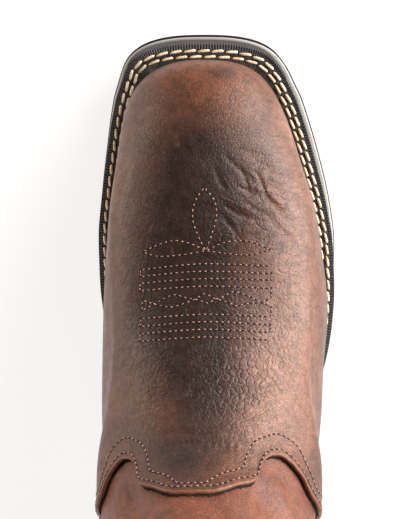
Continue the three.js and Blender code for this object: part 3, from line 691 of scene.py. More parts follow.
# The shaft has soft folds of its own above the instep, given as creases are, two waves at the ankle (each
# with its height, its turns per round and per row, its phase, its middle row and its reach), and a bulge
# on the inner side, where it stands out beyond the vamp's edge
shaftFolds = [
    ((-30, 186), (-20, 192), (-6, 200), 3, -1.3), ((-34, 194), (-22, 201), (-8, 210), 3.2, 1.1),
    ((22, 184), (29, 191), (35, 202), 2.4, -1.5), ((28, 182), (35, 190), (41, 202), 2.2, 1.1),
    ((12, 186), (18, 194), (30, 206), 3, 1.1), ((-14, 186), (-4, 194), (10, 204), 3.4, 0.9),
    ((-38, 180), (-34, 190), (-33, 200), 2.4, 0.9), ((-33, 178), (-28, 188), (-27, 198), 2.2, -0.8),
]
shaftWaves = [(0.6, 19, 2.3, 0, 12.3, 1.4), (0.35, 37, -3.1, 1, 11.9, 1)]
shaftBulge = {"height": 4.2, "round": -0.37, "reach": 0.055, "from": (10.3, 12), "to": (12.8, 15)}
shaftFades = {"foldsFrom": (10, 11), "foldsTo": (12.3, 13.6), "wavesFrom": (10.9, 11.8),
              "heel": (0.75, 0.95)}


def shaftSkin(round, row, offset=0.0):
    place, f, b = outerForm(round, row), shaftFades, shaftBulge
    folds = foldHeight(place, shaftFolds) * between(row, f["foldsFrom"]) * (1 - between(row, f["foldsTo"]))
    wave = sum(height * np.sin(round * turns + row * climb + phase) * np.exp(-((row - middle) / reach) ** 2)
               for height, turns, climb, phase, middle, reach in shaftWaves)
    wave = wave * between(row, f["wavesFrom"]) * (1 - between(np.abs(round), f["heel"]))
    bulge = b["height"] * np.exp(-((round - b["round"]) / b["reach"]) ** 2)
    bulge = bulge * between(row, b["from"]) * (1 - between(row, b["to"]))
    rise = np.clip(wave + folds, -1.5, 1.4) + bulge + offset
    return place + formNormal(round, row) * rise[..., None]


# An overlay is a closed sheet: its section goes up the outer face, round the edge and down the inner face.
# Along its edge it is lifted, by a bell over the rows below the edge, and a little wavy, and both of its
# ends are pinched shut. Its fields tell the cut side and the patches of hide tone and of painted light
overlaySet = {
    "vamp": {"lift": 0.45, "wobble": 0.08, "shares": 235, "columns": 350},
    "counter": {"lift": 0.2, "wobble": 0.05, "shares": 60, "columns": 170},
    "edgeSteps": 6, "innerSteps": 26, "bell": 0.16, "round": 0.024,
    "waves": [(1, 160, 0), (0.6, 277, 2), (0.5, 71, 1)],
}


def overlayPiece(name, rounds, upper, shares, kind):
    s, thick = overlaySet, last["vampSkin"]
    turn = np.radians(np.linspace(0, 180, s["edgeSteps"] + 2)[1:-1])
    outer, inner = np.zeros(len(shares)), np.full(s["innerSteps"], -thick)
    share = np.concatenate([shares, np.ones(len(turn)), np.linspace(1, 0, s["innerSteps"])])
    offset = np.concatenate([outer, -thick / 2 * (1 - np.cos(turn)), inner])
    swell = np.concatenate([outer, s["round"] * np.sin(turn), 0 * inner])
    rows = upper[:, None] * share[None]
    round = np.broadcast_to(rounds[:, None], rows.shape)
    edge = np.exp(-((upper[:, None] - rows) / s["bell"]) ** 2)
    wave = overlaySet[kind]["wobble"] * sum(rise * np.sin(round * turns + phase) for rise, turns,
                                            phase in s["waves"])
    pinch = np.ones(len(rounds))
    pinch[[0, -1]] = 0
    height = lerp(-thick / 2, offset[None], pinch[:, None]) + edge * (overlaySet[kind]["lift"] + wave)
    points = vampSkin(round, rows + swell[None], height)
    cut = np.broadcast_to((np.arange(len(share)) >= len(shares) - 1)[None] * 1.0, rows.shape)
    return joinParts(name, [(points, gridFaces(*rows.shape))], 70, {"cut": cut, **markFields(points)})


# Shares round, denser by a gain where the edge steps
def densely(start, end, count, centre, gain, width):
    fine = np.linspace(start, end, 4000)
    sums = np.cumsum(1 + gain * np.exp(-((np.abs(fine) - centre) / width) ** 2))
    return np.interp(np.linspace(sums[0], sums[-1], count), sums, fine)


# The vamp's rows are spaced evenly by their length up its middle
def makeVamp():
    s = overlaySet["vamp"]
    end = vampEdge["end"]
    rounds = densely(-end - shiftAt(end), end - shiftAt(end), s["columns"], 0.15, 4, 0.02)
    rows = np.linspace(0, vampEdge["row"][0], 2000)
    steps = runningLength(outerForm(0.08, rows))
    shares = np.interp(np.linspace(0, steps[-1], s["shares"]), steps, rows) / rows[-1]
    return overlayPiece("vampLeather", rounds, vampTop(vampReach(rounds)), shares, "vamp")


# Shares round the heel, from one side over the back to the other
def roundHeel(start, count):
    rounds = np.linspace(start, 2 - start, count)
    return np.where(rounds > 1, rounds - 2, rounds)


def makeCounter():
    s = overlaySet["counter"]
    rounds = roundHeel(0.665, s["columns"])
    shares = np.linspace(0, 1, s["shares"])
    return overlayPiece("counterLeather", rounds, counterTop(np.abs(rounds)), shares, "counter")


# Painted shadow under the vamp's edge: a dark strip beneath the edge, seen as a black line on the shaft: its
# section as distances beyond the edge and heights over the shaft, wider at two places (share round, reach,
# gain) and ragged by three waves
edgeShadowSet = {
    "reach": [-3.5, -2, 0, 0.4, 0.75, 0.9], "height": [0.68, 0.68, 0.58, 0.43, 0.23, 0], "thick": 0.2,
    "end": 0.645,
    "wider": [(-0.27, 0.06, 0.5), (0, 0.09, 0.3)], "ragged": [(0.16, 260, 0), (0.14, 431, 1), (0.1, 900, 2)],
}


def makeEdgeShadow():
    s = edgeShadowSet
    rounds = densely(-s["end"], s["end"], 1100, 0.15, 5, 0.02)
    upper = vampTop(vampReach(rounds))
    span = np.linalg.norm(outerForm(rounds, upper + 0.05) - outerForm(rounds, upper - 0.05), axis=1) / 0.1
    wide = 1 + sum(gain * np.exp(-((rounds - centre) / reach) ** 2) for centre, reach, gain in s["wider"])
    wide = wide + sum(rise * np.sin(rounds * turns + phase) for rise, turns, phase in s["ragged"])
    section = list(zip(s["reach"], s["height"]))
    section += [(reach, height - s["thick"]) for reach, height in section[::-1]]
    lines = [shaftSkin(rounds, upper + reach * (wide if reach > 0 else 1) / span, shaftOffset + height)
             for reach, height in section]
    grid = np.stack(lines, axis=1)
    return joinParts("vampEdgeShadow", [(grid, gridFaces(*grid.shape[:2], closeColumns=True))], 60)


# Shaft and lining: up the outer face, densest where it folds, and down the inner face
shaftSet = {"columns": 341, "outer": [(0, 5, 12), (5, 9.5, 40), (9.5, 14, 110)], "top": (14, 17, 36),
            "inner": 42}


def makeShaft():
    s = shaftSet
    rounds = densely(-1, 1, s["columns"], 0, 1.4, 0.3)[:-1]
    outer = np.concatenate([np.linspace(*part)[:-1] for part in s["outer"]] + [np.linspace(*s["top"])])
    round, row = np.meshgrid(rounds, np.concatenate([outer, np.linspace(17, 0, s["inner"])]))
    lining = np.broadcast_to((np.arange(len(row)) >= len(outer))[:, None] * 1.0, row.shape)
    points = shaftSkin(round, row, shaftOffset - last["shaftSkin"] * lining)
    faces = gridFaces(*row.shape, closeLines=True, closeColumns=True)
    return joinParts("shaftLeather", [(points, faces)], 60, {"lining": lining})


# Points over the leather from shares round and a section of (row, offset, rise above the row)
def overSection(rounds, section):
    round, row = np.meshgrid(rounds, section[:, 0])
    points = onLeather(round, row, np.broadcast_to(section[:, 1:2], row.shape))
    points[..., 2] += section[:, 2:3]
    return points


# Binding folded over the collar: a channel whose section goes up outside, over the rim and down inside
bindingSet = {"low": 17 - 0.24, "skin": 1.2, "gap": 0.3, "columns": 241}


def makeBinding():
    s = bindingSet
    low, top, skin, gap = s["low"], 17, s["skin"], s["gap"]
    out, into = shaftOffset + gap, shaftOffset - last["shaftSkin"] - gap
    middle, half = (out + into) / 2, (out - into) / 2 + skin
    flank = [(0, 0.4), (0.01, 0.9), (0.04, 1)]
    section = [(low + rise, out + skin * share, 0) for rise, share in flank]
    section += [(top, middle + half * math.cos(a),
                 0.2 + half * math.sin(a)) for a in np.radians(np.linspace(0, 180, 9))]
    section += [(low + rise, into - skin * share, 0) for rise, share in flank[::-1]]
    section += [(low, into, 0), (top, into, gap), (top, out, gap), (low, out, 0)]
    points = overSection(np.linspace(-1, 1, s["columns"])[:-1], np.array(section))
    return joinParts("bindingLeather", [(points, gridFaces(*points.shape[:2], closeLines=True,
                                                           closeColumns=True))], 60)


# Pull strap: a band that goes up the outer face, over in a loop and down the inner face. It is the space
# between two such paths, and it thins towards its edges
strapSet = {
    "low": 15.85, "middle": 16.2, "bend": 16.64, "shoulder": 16.74, "loop": 24, "bulge": 6.5, "skin": 2,
    "bound": 1.8, "half": 0.05, "soft": 0.08, "thin": 0.45,
}


def strapPath(thick):
    s = strapSet
    middle = shaftOffset - last["shaftSkin"] / 2
    leg = last["shaftSkin"] / 2 + last["fit"]
    crown = s["loop"] - s["bulge"]
    legs = [(s[name], leg, 0) for name in ("low", "middle", "bend")]
    legs += [(s["shoulder"], leg + s["bound"], 0), (17, leg + s["bound"], s["bound"])]
    legs += [(17, leg + s["bulge"], crown * t) for t in (0.45, 0.75)]
    legs += [(17, (leg + s["bulge"]) * math.cos(a), crown + (s["bulge"] + thick) * math.sin(a))
             for a in np.radians(np.linspace(0, 82, 9))]
    sides = [[(row, middle + face * (off + thick), rise) for row, off, rise in legs] for face in (1, -1)]
    return np.array(sides[0] + [(17, middle, crown + s["bulge"] + thick)] + sides[1][::-1])


def makeStrap(sign):
    s = strapSet
    share = np.linspace(-1, 1, 15)
    layers = [overSection(sign * (0.5 + s["half"] * share), strapPath(thick)) for thick in (s["skin"], 0.0)]
    soft = np.clip((1 - np.abs(share)) / s["soft"], 0, 1) ** 0.5
    middle = (layers[0] + layers[1]) / 2
    outer, inner = (lerp(middle, layer, lerp(s["thin"], 1, soft)[None, :, None]) for layer in layers)
    ring = np.concatenate([outer, inner[:, ::-1]], axis=1)
    lines, columns = ring.shape[:2]
    caps = [[base + k, base + k + 1, base + columns - 2 - k, base + columns - 1 - k]
            for base in (0, (lines - 1) * columns) for k in range(columns // 2 - 1)]
    faces = np.concatenate([gridFaces(lines, columns, closeColumns=True), np.array(caps)])
    return joinParts("strapLeather", [(ring, faces)], 60)


# Side seam: a low rounded strip from the counter up to the strap
seamSet = {"low": 6.05, "top": 15.75, "lines": 110, "half": 6, "base": 0.42, "side": 0.45, "crown": 1.05}


# Shares round that the strip's half width takes at a row
def seamHalf(rows):
    return seamSet["half"] / (np.pi * (level["rear"](rows) - level["front"](rows)))


def makeSideSeam(sign):
    s = seamSet
    rows = np.linspace(s["low"], s["top"], s["lines"])
    angle = np.radians(np.linspace(0, 180, 11))
    across = np.concatenate([np.cos(angle), np.linspace(-1, 1, 5)[1:-1]])
    height = np.concatenate([s["side"] + s["crown"] * np.sin(angle) ** 0.5, np.full(3, s["base"])])
    round = sign * (seamRound(rows)[:, None] + seamHalf(rows)[:, None] * across[None])
    row = np.broadcast_to(rows[:, None], round.shape)
    points = shaftSkin(round, row, shaftOffset + np.broadcast_to(height, round.shape))
    return joinParts("seamLeather", [(points, tubeFaces(*round.shape))], 60)


# Stitches: each is a short thread that rises from one hole and sinks into the next, thickest behind its
# middle. Its fields tell the place along it and a share that differs from stitch to stitch
threadSet = {
    "welt": {"thick": 0.66, "rise": 0.75, "sink": 0.35, "rings": 9, "sides": 8},
    "fine": {"thick": 0.23, "rise": 0.33, "sink": 0.12, "rings": 5, "sides": 6},
    "flat": 0.8, "least": 0.3, "gain": 1.5, "spread": 0.618,
}


# Ring of directions round a line: as shares of one unit direction and of another
def ringOf(count, first, second, firstSize=1.0, secondSize=1.0):
    angle = 2 * np.pi * np.arange(count) / count
    return ((firstSize * np.cos(angle))[None, None, :, None] * first[:, None, None]
            + (secondSize * np.sin(angle))[None, None, :, None] * second[:, None, None])


def threadMesh(name, runs, kind):
    s = threadSet[kind]
    starts, ends, normals = (np.concatenate(each) for each in zip(*runs))
    number = np.concatenate([np.arange(len(run[0])) for run in runs])
    t = np.linspace(0, 1, s["rings"])
    lift = s["rise"] * np.sin(np.pi * t) ** 0.55 - s["sink"]
    swell = threadSet["least"] + threadSet["gain"] * np.sin(np.pi * t ** 0.85)
    girth = s["thick"] * np.clip(swell, 0, 1)
    centre = lerp(starts[:, None], ends[:, None], t[None, :, None]) + normals[:, None] * lift[None, :, None]
    across = unit(np.cross(normals, ends - starts))
    ring = ringOf(s["sides"], across, normals, 1, threadSet["flat"])
    points = centre[:, :, None] + ring * girth[None, :, None, None]
    faces = repeatFaces(tubeFaces(s["rings"], s["sides"]), len(starts), s["rings"] * s["sides"])
    along = np.broadcast_to(t[None, :, None], points.shape[:3])
    which = np.broadcast_to((number * threadSet["spread"] % 1)[:, None, None], points.shape[:3])
    return buildMesh(name, points, faces, {"along": along, "which": which})


# Needle holes: thin dark domed discs that paint the shade in the holes, stretched along the seam, one before
# each stitch and one at the end.
# Each ring of a disc has its size and its rise
holeSet = {"long": 0.8, "wide": 0.42, "before": 0.42, "rings": [(1, -0.12), (0.9, 0.07), (0.1, 0.1)],
           "sides": 8}


def holeMesh(name, runs):
    s = holeSet
    centre = np.concatenate([np.concatenate([starts, ends[-1:]]) for starts, ends, _ in runs])
    normal = np.concatenate([np.concatenate([normals, normals[-1:]]) for _, _, normals in runs])
    ways = [ends - starts for starts, ends, _ in runs]
    along = unit(np.concatenate([np.concatenate([way, way[-1:]]) for way in ways]))
    centre = centre - along * s["before"]
    ring = ringOf(s["sides"], along, np.cross(normal, along), s["long"], s["wide"])
    size, rise = np.array(s["rings"]).T[:, None, :, None]
    points = (centre[:, None] + normal[:, None] * rise)[:, :, None] + ring * size[..., None]
    faces = repeatFaces(tubeFaces(len(s["rings"]), s["sides"]), len(centre), len(s["rings"]) * s["sides"])
    return buildMesh(name, points, faces)


# Stitches every pitch along a line of points; the pitch may differ along it, and skew turns each stitch a
# little to one side
def stitchLine(points, normals, pitch, length, skew=0.0, wider=1.0):
    steps = runningLength(points)
    own = pitch * np.broadcast_to(wider, len(steps))
    turns = np.concatenate([[0], np.cumsum(np.diff(steps) / (0.5 * (own[1:] + own[:-1])))])
    count = max(2, int(round(turns[-1])))
    at = np.interp((np.arange(count) + 0.5) * turns[-1] / count, turns, steps)
    half = length * np.interp(at, steps, own) / pitch / 2
    start, end = pick(at - half, steps, points), pick(at + half, steps, points)
    normal = unit(pick(at, steps, normals))
    side = unit(np.cross(normal, end - start))
    return start - side * skew, end + side * skew, normal


# Two rows of the welt's seam, each with its inset, its skew and the least gap to the leather
weltSeam = {"rows": [(3.4, 0.35, 0.7), (6.1, 0.3, 1.5)], "pitch": 6, "length": 5.35, "widerAtToe": 0.13}


def weltThread():
    s = weltSeam
    runs = []
    for inset, skew, least in s["rows"]:
        path, outward, _ = weltPath(1600)
        toe = toeShare(outward)
        path = path - outward * (inset + weltSet["toeShift"] * toe)[:, None]
        keep = leatherGap(path, outward) > least
        grid = raised(path, weltTop)[keep]
        wider = (1 + s["widerAtToe"] * toe)[keep]
        runs.append(stitchLine(grid, np.zeros_like(grid) + (0, 0, 1), s["pitch"], s["length"], skew, wider))
    return threadMesh("weltThread", runs, "welt")


# Second row of the vamp's edge seam, as rows at shares round from the toe
vampSeam = {
    "round": [0, 0.03, 0.06, 0.098, 0.114, 0.119, 0.138, 0.165, 0.2, 0.235, 0.265, 0.3, 0.35, 0.39, 0.5, 0.6,
              0.655],
    "row": [11.42, 11.4, 11.22, 11.06, 10.95, 10.75, 10.45, 10.24, 10, 9.86, 9.78, 9.83, 9.78, 9.45, 8.1,
            6.45, 5.5],
}
seamRow = curveThrough(vampSeam["round"], vampSeam["row"])
# Pitch and length of the finer stitches
fineSeam = {"vamp": (2.5, 1.35), "toe": (2.5, 1.25), "counter": (2.5, 1.8), "trim": (2.8, 2)}


# A line sewn on the vamp or the counter; near the edge it rides on the edge's lift
def alongVamp(rounds, rows, kind, lift=0.0):
    return stitchLine(vampSkin(rounds, rows, lift), formNormal(rounds, rows), *fineSeam[kind])


def vampRuns():
    rounds = np.linspace(-0.64, 0.64, 900)
    reach = vampReach(rounds)
    upper = vampTop(reach)
    runs = []
    for rows in (seamRow(reach), upper - 0.085):
        lift = overlaySet["vamp"]["lift"] * np.exp(-((upper - rows) / overlaySet["bell"]) ** 2)
        runs.append(alongVamp(rounds, rows, "vamp", lift))
    return runs + toeRuns()


# Lines of the toe stitch, as points of the top (side x, back), joined by smooth curves. The straight lines
# are given by their backs at the left, the middle and the right
toeStitch = {
    "lines": [
        (28.6, [(107.6, 104.4, 105.9), (110.4, 107.5, 109.1), (113.3, 110.6, 111.7), (116.4, 113.7, 115.2)]),
        (27.8, [(127.9, 125.1, 126.9), (131.1, 128, 130.2), (134.1, 131, 133.2), (137, 134, 136.3)])],
    "leaves": [
        [(2.5, 99), (-1.2, 92), (-3.4, 85), (-2.4, 78), (1.6, 71.9)],
        [(1.6, 71.9), (6.3, 78), (7, 85), (5, 92), (2.5, 99)],
        [(2.5, 99), (-4, 96), (-11.4, 94.7), (-19, 96.8), (-25.2, 99.9)],
        [(-25.2, 99.9), (-20, 101.3), (-14.7, 101.4), (-6, 100.4), (2.5, 99)],
        [(2.5, 99), (9, 96), (16.3, 94.7), (24, 96), (30.4, 98.8)],
        [(30.4, 98.8), (24, 100.6), (17.5, 100.8), (10, 100), (2.5, 99)]],
    "ribbon": [
        [(-24.8, 120.2), (-20.9, 121.2), (-17.2, 121.9), (-11.9, 122.4), (-6.8, 120.8), (-1.9, 119),
         (0.7, 117.4),
         (2.8, 116.7), (5.9, 118.7), (8, 119.1), (13.4, 120.9), (15.8, 122), (20.5, 121), (26.8, 120.8),
         (30.8, 119)],
        [(-24.9, 124.5), (-19.8, 121.5), (-16.5, 119.7), (-11, 117.3), (-6.3, 118.4), (-1.9, 119),
         (1, 119.9),
         (3.8, 120.7), (5.9, 119.4), (10, 118.2), (14.5, 116.1), (20.6, 118), (25.5, 120.3), (30.8, 122.9)]],
    "turns": [((-24.9, 120.2), (-24.9, 124.5)), ((30.9, 115.2), (30.8, 119)),
              ((30.8, 122.9), (30.4, 126.9))],
    "middle": 2.5, "bow": 1.6, "step": 0.8,
}


def throughPoints(points, count):
    points = np.asarray(points, float)
    t = np.arange(len(points))
    return np.stack([curveThrough(t, points[:, k])(np.linspace(0, t[-1], count)) for k in (0, 1)], -1)


def toeCurves():
    s = toeStitch
    curves = []
    for reach, lines in s["lines"]:
        left, right = s["middle"] - reach, s["middle"] + reach
        for first, centre, end in lines:
            sides = np.linspace(-1, 1, 60)
            back = centre + np.where(sides < 0, first - centre, end - centre) * np.abs(sides) ** s["bow"]
            curves.append(np.stack([s["middle"] + sides * reach, back], -1))
        for (a, b), x, side in zip(zip(lines, lines[1:]), (left, right, left), (0, 2, 0)):
            curves.append(np.array([(x, a[side]), (x, b[side])]))
    curves += [throughPoints(points, 80) for points in s["leaves"]]
    curves += [throughPoints(points, 160) for points in s["ribbon"]]
    return curves + [np.array(points) for points in s["turns"]]


def toeRuns():
    runs = []
    for curve in toeCurves():
        steps = runningLength(curve)
        at = np.linspace(0, steps[-1], max(8, int(steps[-1] / toeStitch["step"])))
        runs.append(alongVamp(*findOnTop(*pick(at, steps, curve).T), "toe"))
    return runs


# Seams of the counter, the side seams and the binding
def trimRuns():
    rounds = roundHeel(0.675, 300)
    runs = [alongVamp(rounds, counterTop(np.abs(rounds)) - drop, "counter") for drop in (0.18, 0.42)]
    rows = np.linspace(6.1, 15.7, 200)
    for sign in (1, -1):
        for side in (-1.45, 1.45):
            round = sign * (seamRound(rows) + side * seamHalf(rows))
            points = shaftSkin(round, rows, shaftOffset)
            runs.append(stitchLine(points, formNormal(round, rows), *fineSeam["trim"]))
    rounds = np.linspace(-1, 1, 500)
    low = np.full(500, 17 - 0.13)
    points = onLeather(rounds, low, np.full(500, shaftOffset + 1.5))
    return runs + [stitchLine(points, formNormal(rounds, low), *fineSeam["trim"])]


# Shader nodes: a value that is a socket is linked, a colour of three numbers gets its alpha, and anything
# else is set on the input
def setInputs(tree, node, inputs):
    for key, value in inputs.items():
        socket = node.inputs[key]
        if isinstance(value, bpy.types.NodeSocket):
            tree.links.new(value, socket)
        else:
            socket.default_value = (*value, 1) if socket.type == "RGBA" else value
    return node


def addNode(tree, kind, inputs=None, **settings):
    node = tree.nodes.new("ShaderNode" + kind)
    for key, value in settings.items():
        setattr(node, key, value)
    return setInputs(tree, node, inputs or {})


def newMaterial(name):
    material = bpy.data.materials.new(name)
    material.use_nodes = True
    tree = material.node_tree
    return material, tree, tree.nodes["Principled BSDF"]


def newGroup(name, inputs, outputs):
    tree = bpy.data.node_groups.new(name, "ShaderNodeTree")
    for socket, kind in inputs.items():
        tree.interface.new_socket(socket, in_out="INPUT", socket_type="NodeSocket" + kind)
    for socket, kind in outputs.items():
        tree.interface.new_socket(socket, in_out="OUTPUT", socket_type="NodeSocket" + kind)
    return tree, tree.nodes.new("NodeGroupInput"), tree.nodes.new("NodeGroupOutput")


def maths(tree, operation, a, b=0.0):
    return addNode(tree, "Math", {0: a, 1: b}, operation=operation).outputs[0]


# Mixed colours; the colour inputs of the mixing node are the sixth and the seventh
def blendColours(tree, factor, a, b, mode="MIX"):
    return addNode(tree, "Mix", {"Factor": factor, 6: a, 7: b}, data_type="RGBA", blend_type=mode).outputs[2]


# Value led from one range to another, and kept inside it
def spread(tree, value, low, high, start=0.0, end=1.0):
    return addNode(tree, "MapRange", {"Value": value, "From Min": low, "From Max": high,
                                      "To Min": start, "To Max": end}).outputs["Result"]


def noiseNode(tree, vector, scale, detail=4.0, rough=0.55, distortion=0.0):
    return addNode(tree, "TexNoise", {"Vector": vector, "Scale": scale, "Detail": detail, "Roughness": rough,
                                      "Distortion": distortion})


def noise(*given):
    return noiseNode(*given).outputs["Fac"]


def field(tree, name):
    return addNode(tree, "Attribute", attribute_name=name).outputs["Fac"]


def objectSpace(tree):
    return addNode(tree, "TexCoord").outputs["Object"]


def mapped(tree, vector, scale, turn):
    return addNode(tree, "Mapping", {"Vector": vector, "Scale": scale, "Rotation": (0, 0, turn)}).outputs[0]


def bump(tree, height, strength, distance):
    return addNode(tree, "Bump", {"Height": height, "Strength": strength, "Distance": distance}).outputs[0]


# Distance to the edges of cells, spread from 0 at an edge to 1
def cellsOf(tree, vector, scale, width):
    cells = addNode(tree, "TexVoronoi", {"Vector": vector, "Scale": scale}, feature="DISTANCE_TO_EDGE")
    return spread(tree, cells.outputs["Distance"], 0.0, width)


# Grain shared by the leathers: pores, small cells where the hide has tumbled and long wrinkles add up, each
# with its share, and the grooves of a net of stretched cells are taken off
def makeGrain():
    group, given, result = newGroup(
        "hideGrain", {"Vector": "Vector", "Cells": "Float", "Wrinkle": "Float", "Net": "Float"},
        {"Height": "Float", "Pits": "Float", "Grooves": "Float"})
    place = given.outputs["Vector"]
    bent = noiseNode(group, place, 160.0, 2.0, 0.5).outputs["Color"]
    warped = blendColours(group, 0.0035, place, bent, "ADD")
    small, large = cellsOf(group, warped, 620.0, 0.16), cellsOf(group, warped, 330.0, 0.22)
    swung = noiseNode(group, place, 55.0, 3.0, 0.5).outputs["Color"]
    swept = blendColours(group, 0.014, place, swung, "ADD")
    net = cellsOf(group, mapped(group, swept, (1, 2.7, 1), 0.7), 120.0, 0.2)
    groove = maths(group, "POWER", maths(group, "SUBTRACT", 1.0, net), 1.6)
    groove = maths(group, "MULTIPLY", groove, given.outputs["Net"])
    height = maths(group, "MULTIPLY", small, 0.35)
    for value, share in ((noise(group, place, 1900.0, 3.0), 0.2), (large, given.outputs["Cells"]),
                         (noise(group, place, 210.0, 5.0, 0.62, 1.2), given.outputs["Wrinkle"]),
                         (groove, -1.6)):
        height = maths(group, "ADD", height, maths(group, "MULTIPLY", value, share))
    setInputs(group, result, {"Height": height, "Pits": maths(group, "SUBTRACT", 1.0, small),
                              "Grooves": groove})
    return group


hideGrain = makeGrain()


# A soft patch of the hide: the field's strength, broken at its border by cloud noise
def patch(tree, name, clouds, gain):
    cloud = maths(tree, "MULTIPLY", maths(tree, "SUBTRACT", clouds, 0.5), 0.7)
    mask = spread(tree, maths(tree, "ADD", field(tree, name), cloud), 0.0, 1.0, 0.0, gain)
    return maths(tree, "MULTIPLY", mask, spread(tree, field(tree, name), 0.0, 0.3))


# Oiled hide: dark and middle tones in clouds, with warm, dark and pale patches placed by fields where it is
# marked (some are painted highlight and rim light), painted shade in the grooves where it wrinkles, pale
# rubbed streaks, and a raw tan edge or lining
hideSet = {
    "vamp": {"dark": (0.023, 0.0108, 0.0066), "middle": (0.135, 0.05, 0.025), "pale": (0.29, 0.14, 0.09),
             "warm": (0.19, 0.062, 0.024), "raw": (0.2, 0.075, 0.035), "rough": 0.37, "bump": 0.42,
             "cells": 0.22,
             "wrinkle": 0.29, "marked": True, "shine": 0.42},
    "shaft": {"dark": (0.1, 0.026, 0.01), "middle": (0.2, 0.06, 0.024), "pale": (0.36, 0.15, 0.085),
              "raw": (0.3, 0.17, 0.1), "rough": 0.44, "bump": 0.4, "cells": 0.15, "wrinkle": 0.7,
              "marked": False,
              "shine": 0.45},
    "trim": {"dark": (0.024, 0.01, 0.007), "middle": (0.06, 0.024, 0.015), "pale": (0.14, 0.06, 0.04),
             "raw": (0.2, 0.1, 0.05), "rough": 0.42, "bump": 0.4, "cells": 0.2, "wrinkle": 0.4,
             "marked": False,
             "shine": 0.5},
    "mottle": [(0.7, 0.66, 0.64), (1.2, 1.2, 1.2)],
}


def makeLeather(name, hide):
    material, tree, shader = newMaterial(name)
    place = objectSpace(tree)
    clouds, patches = noise(tree, place, 24.0, 5.0, 0.6, 0.6), noise(tree, place, 85.0, 6.0, 0.65, 0.8)
    dark, pale, deep = hide["dark"], hide["pale"], tuple(c * 0.4 for c in hide["dark"])
    cells, net, least, worn = hide["cells"], 0.0, 0.0, field(tree, "lining")
    layers = [(spread(tree, patches, 0.5, 0.8, 0.0, 0.22), pale)]
    if hide["marked"]:
        least = 0.45
        # warm and pale patches: hide tone, with painted rim light in the warm side strips and painted
        # highlight in the pale patches
        layers += [(patch(tree, "warm", patches, 0.95), hide["warm"]),
                   (patch(tree, "pale", patches, 0.75), pale),
                   (patch(tree, "dark", clouds, 0.97), dark)]
        cells = spread(tree, field(tree, "tumbled"), 0.0, 0.8, hide["cells"], 1.7)
        net = patch(tree, "net", patches, 1.0)
        frayed = maths(tree, "ADD", field(tree, "cut"), maths(tree, "MULTIPLY", patches, 0.5))
        worn = spread(tree, frayed, 0.75, 1.25)
    grain = addNode(tree, "Group", node_tree=hideGrain)
    setInputs(tree, grain, {"Vector": place, "Cells": cells, "Wrinkle": hide["wrinkle"], "Net": net})
    mottle = spread(tree, noise(tree, place, 190.0, 8.0, 0.72, 0.5), 0.36, 0.64)
    veins = maths(tree, "ABSOLUTE", maths(tree, "SUBTRACT", noise(tree, place, 62.0, 6.0, 0.6, 1.5), 0.5))
    streaks = noise(tree, mapped(tree, place, (1, 0.16, 0.5), 0.5), 420.0, 3.0)
    layers += [
        (1.0, blendColours(tree, mottle, *hideSet["mottle"]), "MULTIPLY"),
        (spread(tree, veins, 0.0, 0.035, 0.42, 0.0), dark),
        (maths(tree, "MULTIPLY", grain.outputs["Pits"], 0.35), deep),
        # painted shade in the grooves of the wrinkle net
        (maths(tree, "MULTIPLY", grain.outputs["Grooves"], 0.8), deep),
        (spread(tree, streaks, 0.66, 0.78, 0.0, 0.35), pale), (worn, hide["raw"])]
    tone = blendColours(tree, spread(tree, clouds, 0.3, 0.62, least, 1.0), dark, hide["middle"])
    for factor, colour, *mode in layers:
        tone = blendColours(tree, factor, tone, colour, *mode)
    speck = spread(tree, noise(tree, place, 240.0, 3.0), 0.3, 0.7, hide["rough"] - 0.07,
                   hide["rough"] + 0.09)
    rough = maths(tree, "ADD", speck, maths(tree, "MULTIPLY", clouds, 0.06))
    normal = bump(tree, grain.outputs["Height"], hide["bump"], 0.0004)
    setInputs(tree, shader, {"Base Color": tone, "Roughness": rough, "Normal": normal})
    shader.inputs["Specular IOR Level"].default_value = hide["shine"]
    return material


# Rubber or cloth of one colour, dusty in clouds and finely rough
def makeRubber(name, colour, rough, dust):
    material, tree, shader = newMaterial(name)
    place = objectSpace(tree)
    cloud = noise(tree, place, 60.0, 5.0)
    pale = tuple(min(1, c * 2.2 + 0.02) for c in colour)
    setInputs(tree, shader, {
        "Base Color": blendColours(tree, spread(tree, cloud, 0.4, 0.7, 0.0, dust), colour, pale),
        "Roughness": spread(tree, cloud, 0.3, 0.7, rough - 0.05, rough + 0.08),
        "Normal": bump(tree, noise(tree, place, 1500.0, 3.0), 0.25, 0.0003)})
    return material


# The welt's rubber is grey on its smooth rim at the toe and black between the ribs, darker in the grooves
# with painted shade
def makeWeltRubber(name):
    material, tree, shader = newMaterial(name)
    rim = field(tree, "rim")
    speck = noise(tree, objectSpace(tree), 900.0, 3.0)
    tone = blendColours(tree, spread(tree, speck, 0.35, 0.65), (0.018, 0.016, 0.017), (0.06, 0.055, 0.055))
    tone = blendColours(tree, spread(tree, rim, 0.1, 1.4), tone, (0.12, 0.115, 0.115))
    # painted shade at the bottoms of the grooves between the ribs
    tone = blendColours(tree, spread(tree, rim, -0.15, -0.8), tone, (0.004, 0.0035, 0.0035))
    setInputs(tree, shader, {"Base Color": tone})
    shader.inputs["Roughness"].default_value = 0.45
    return material


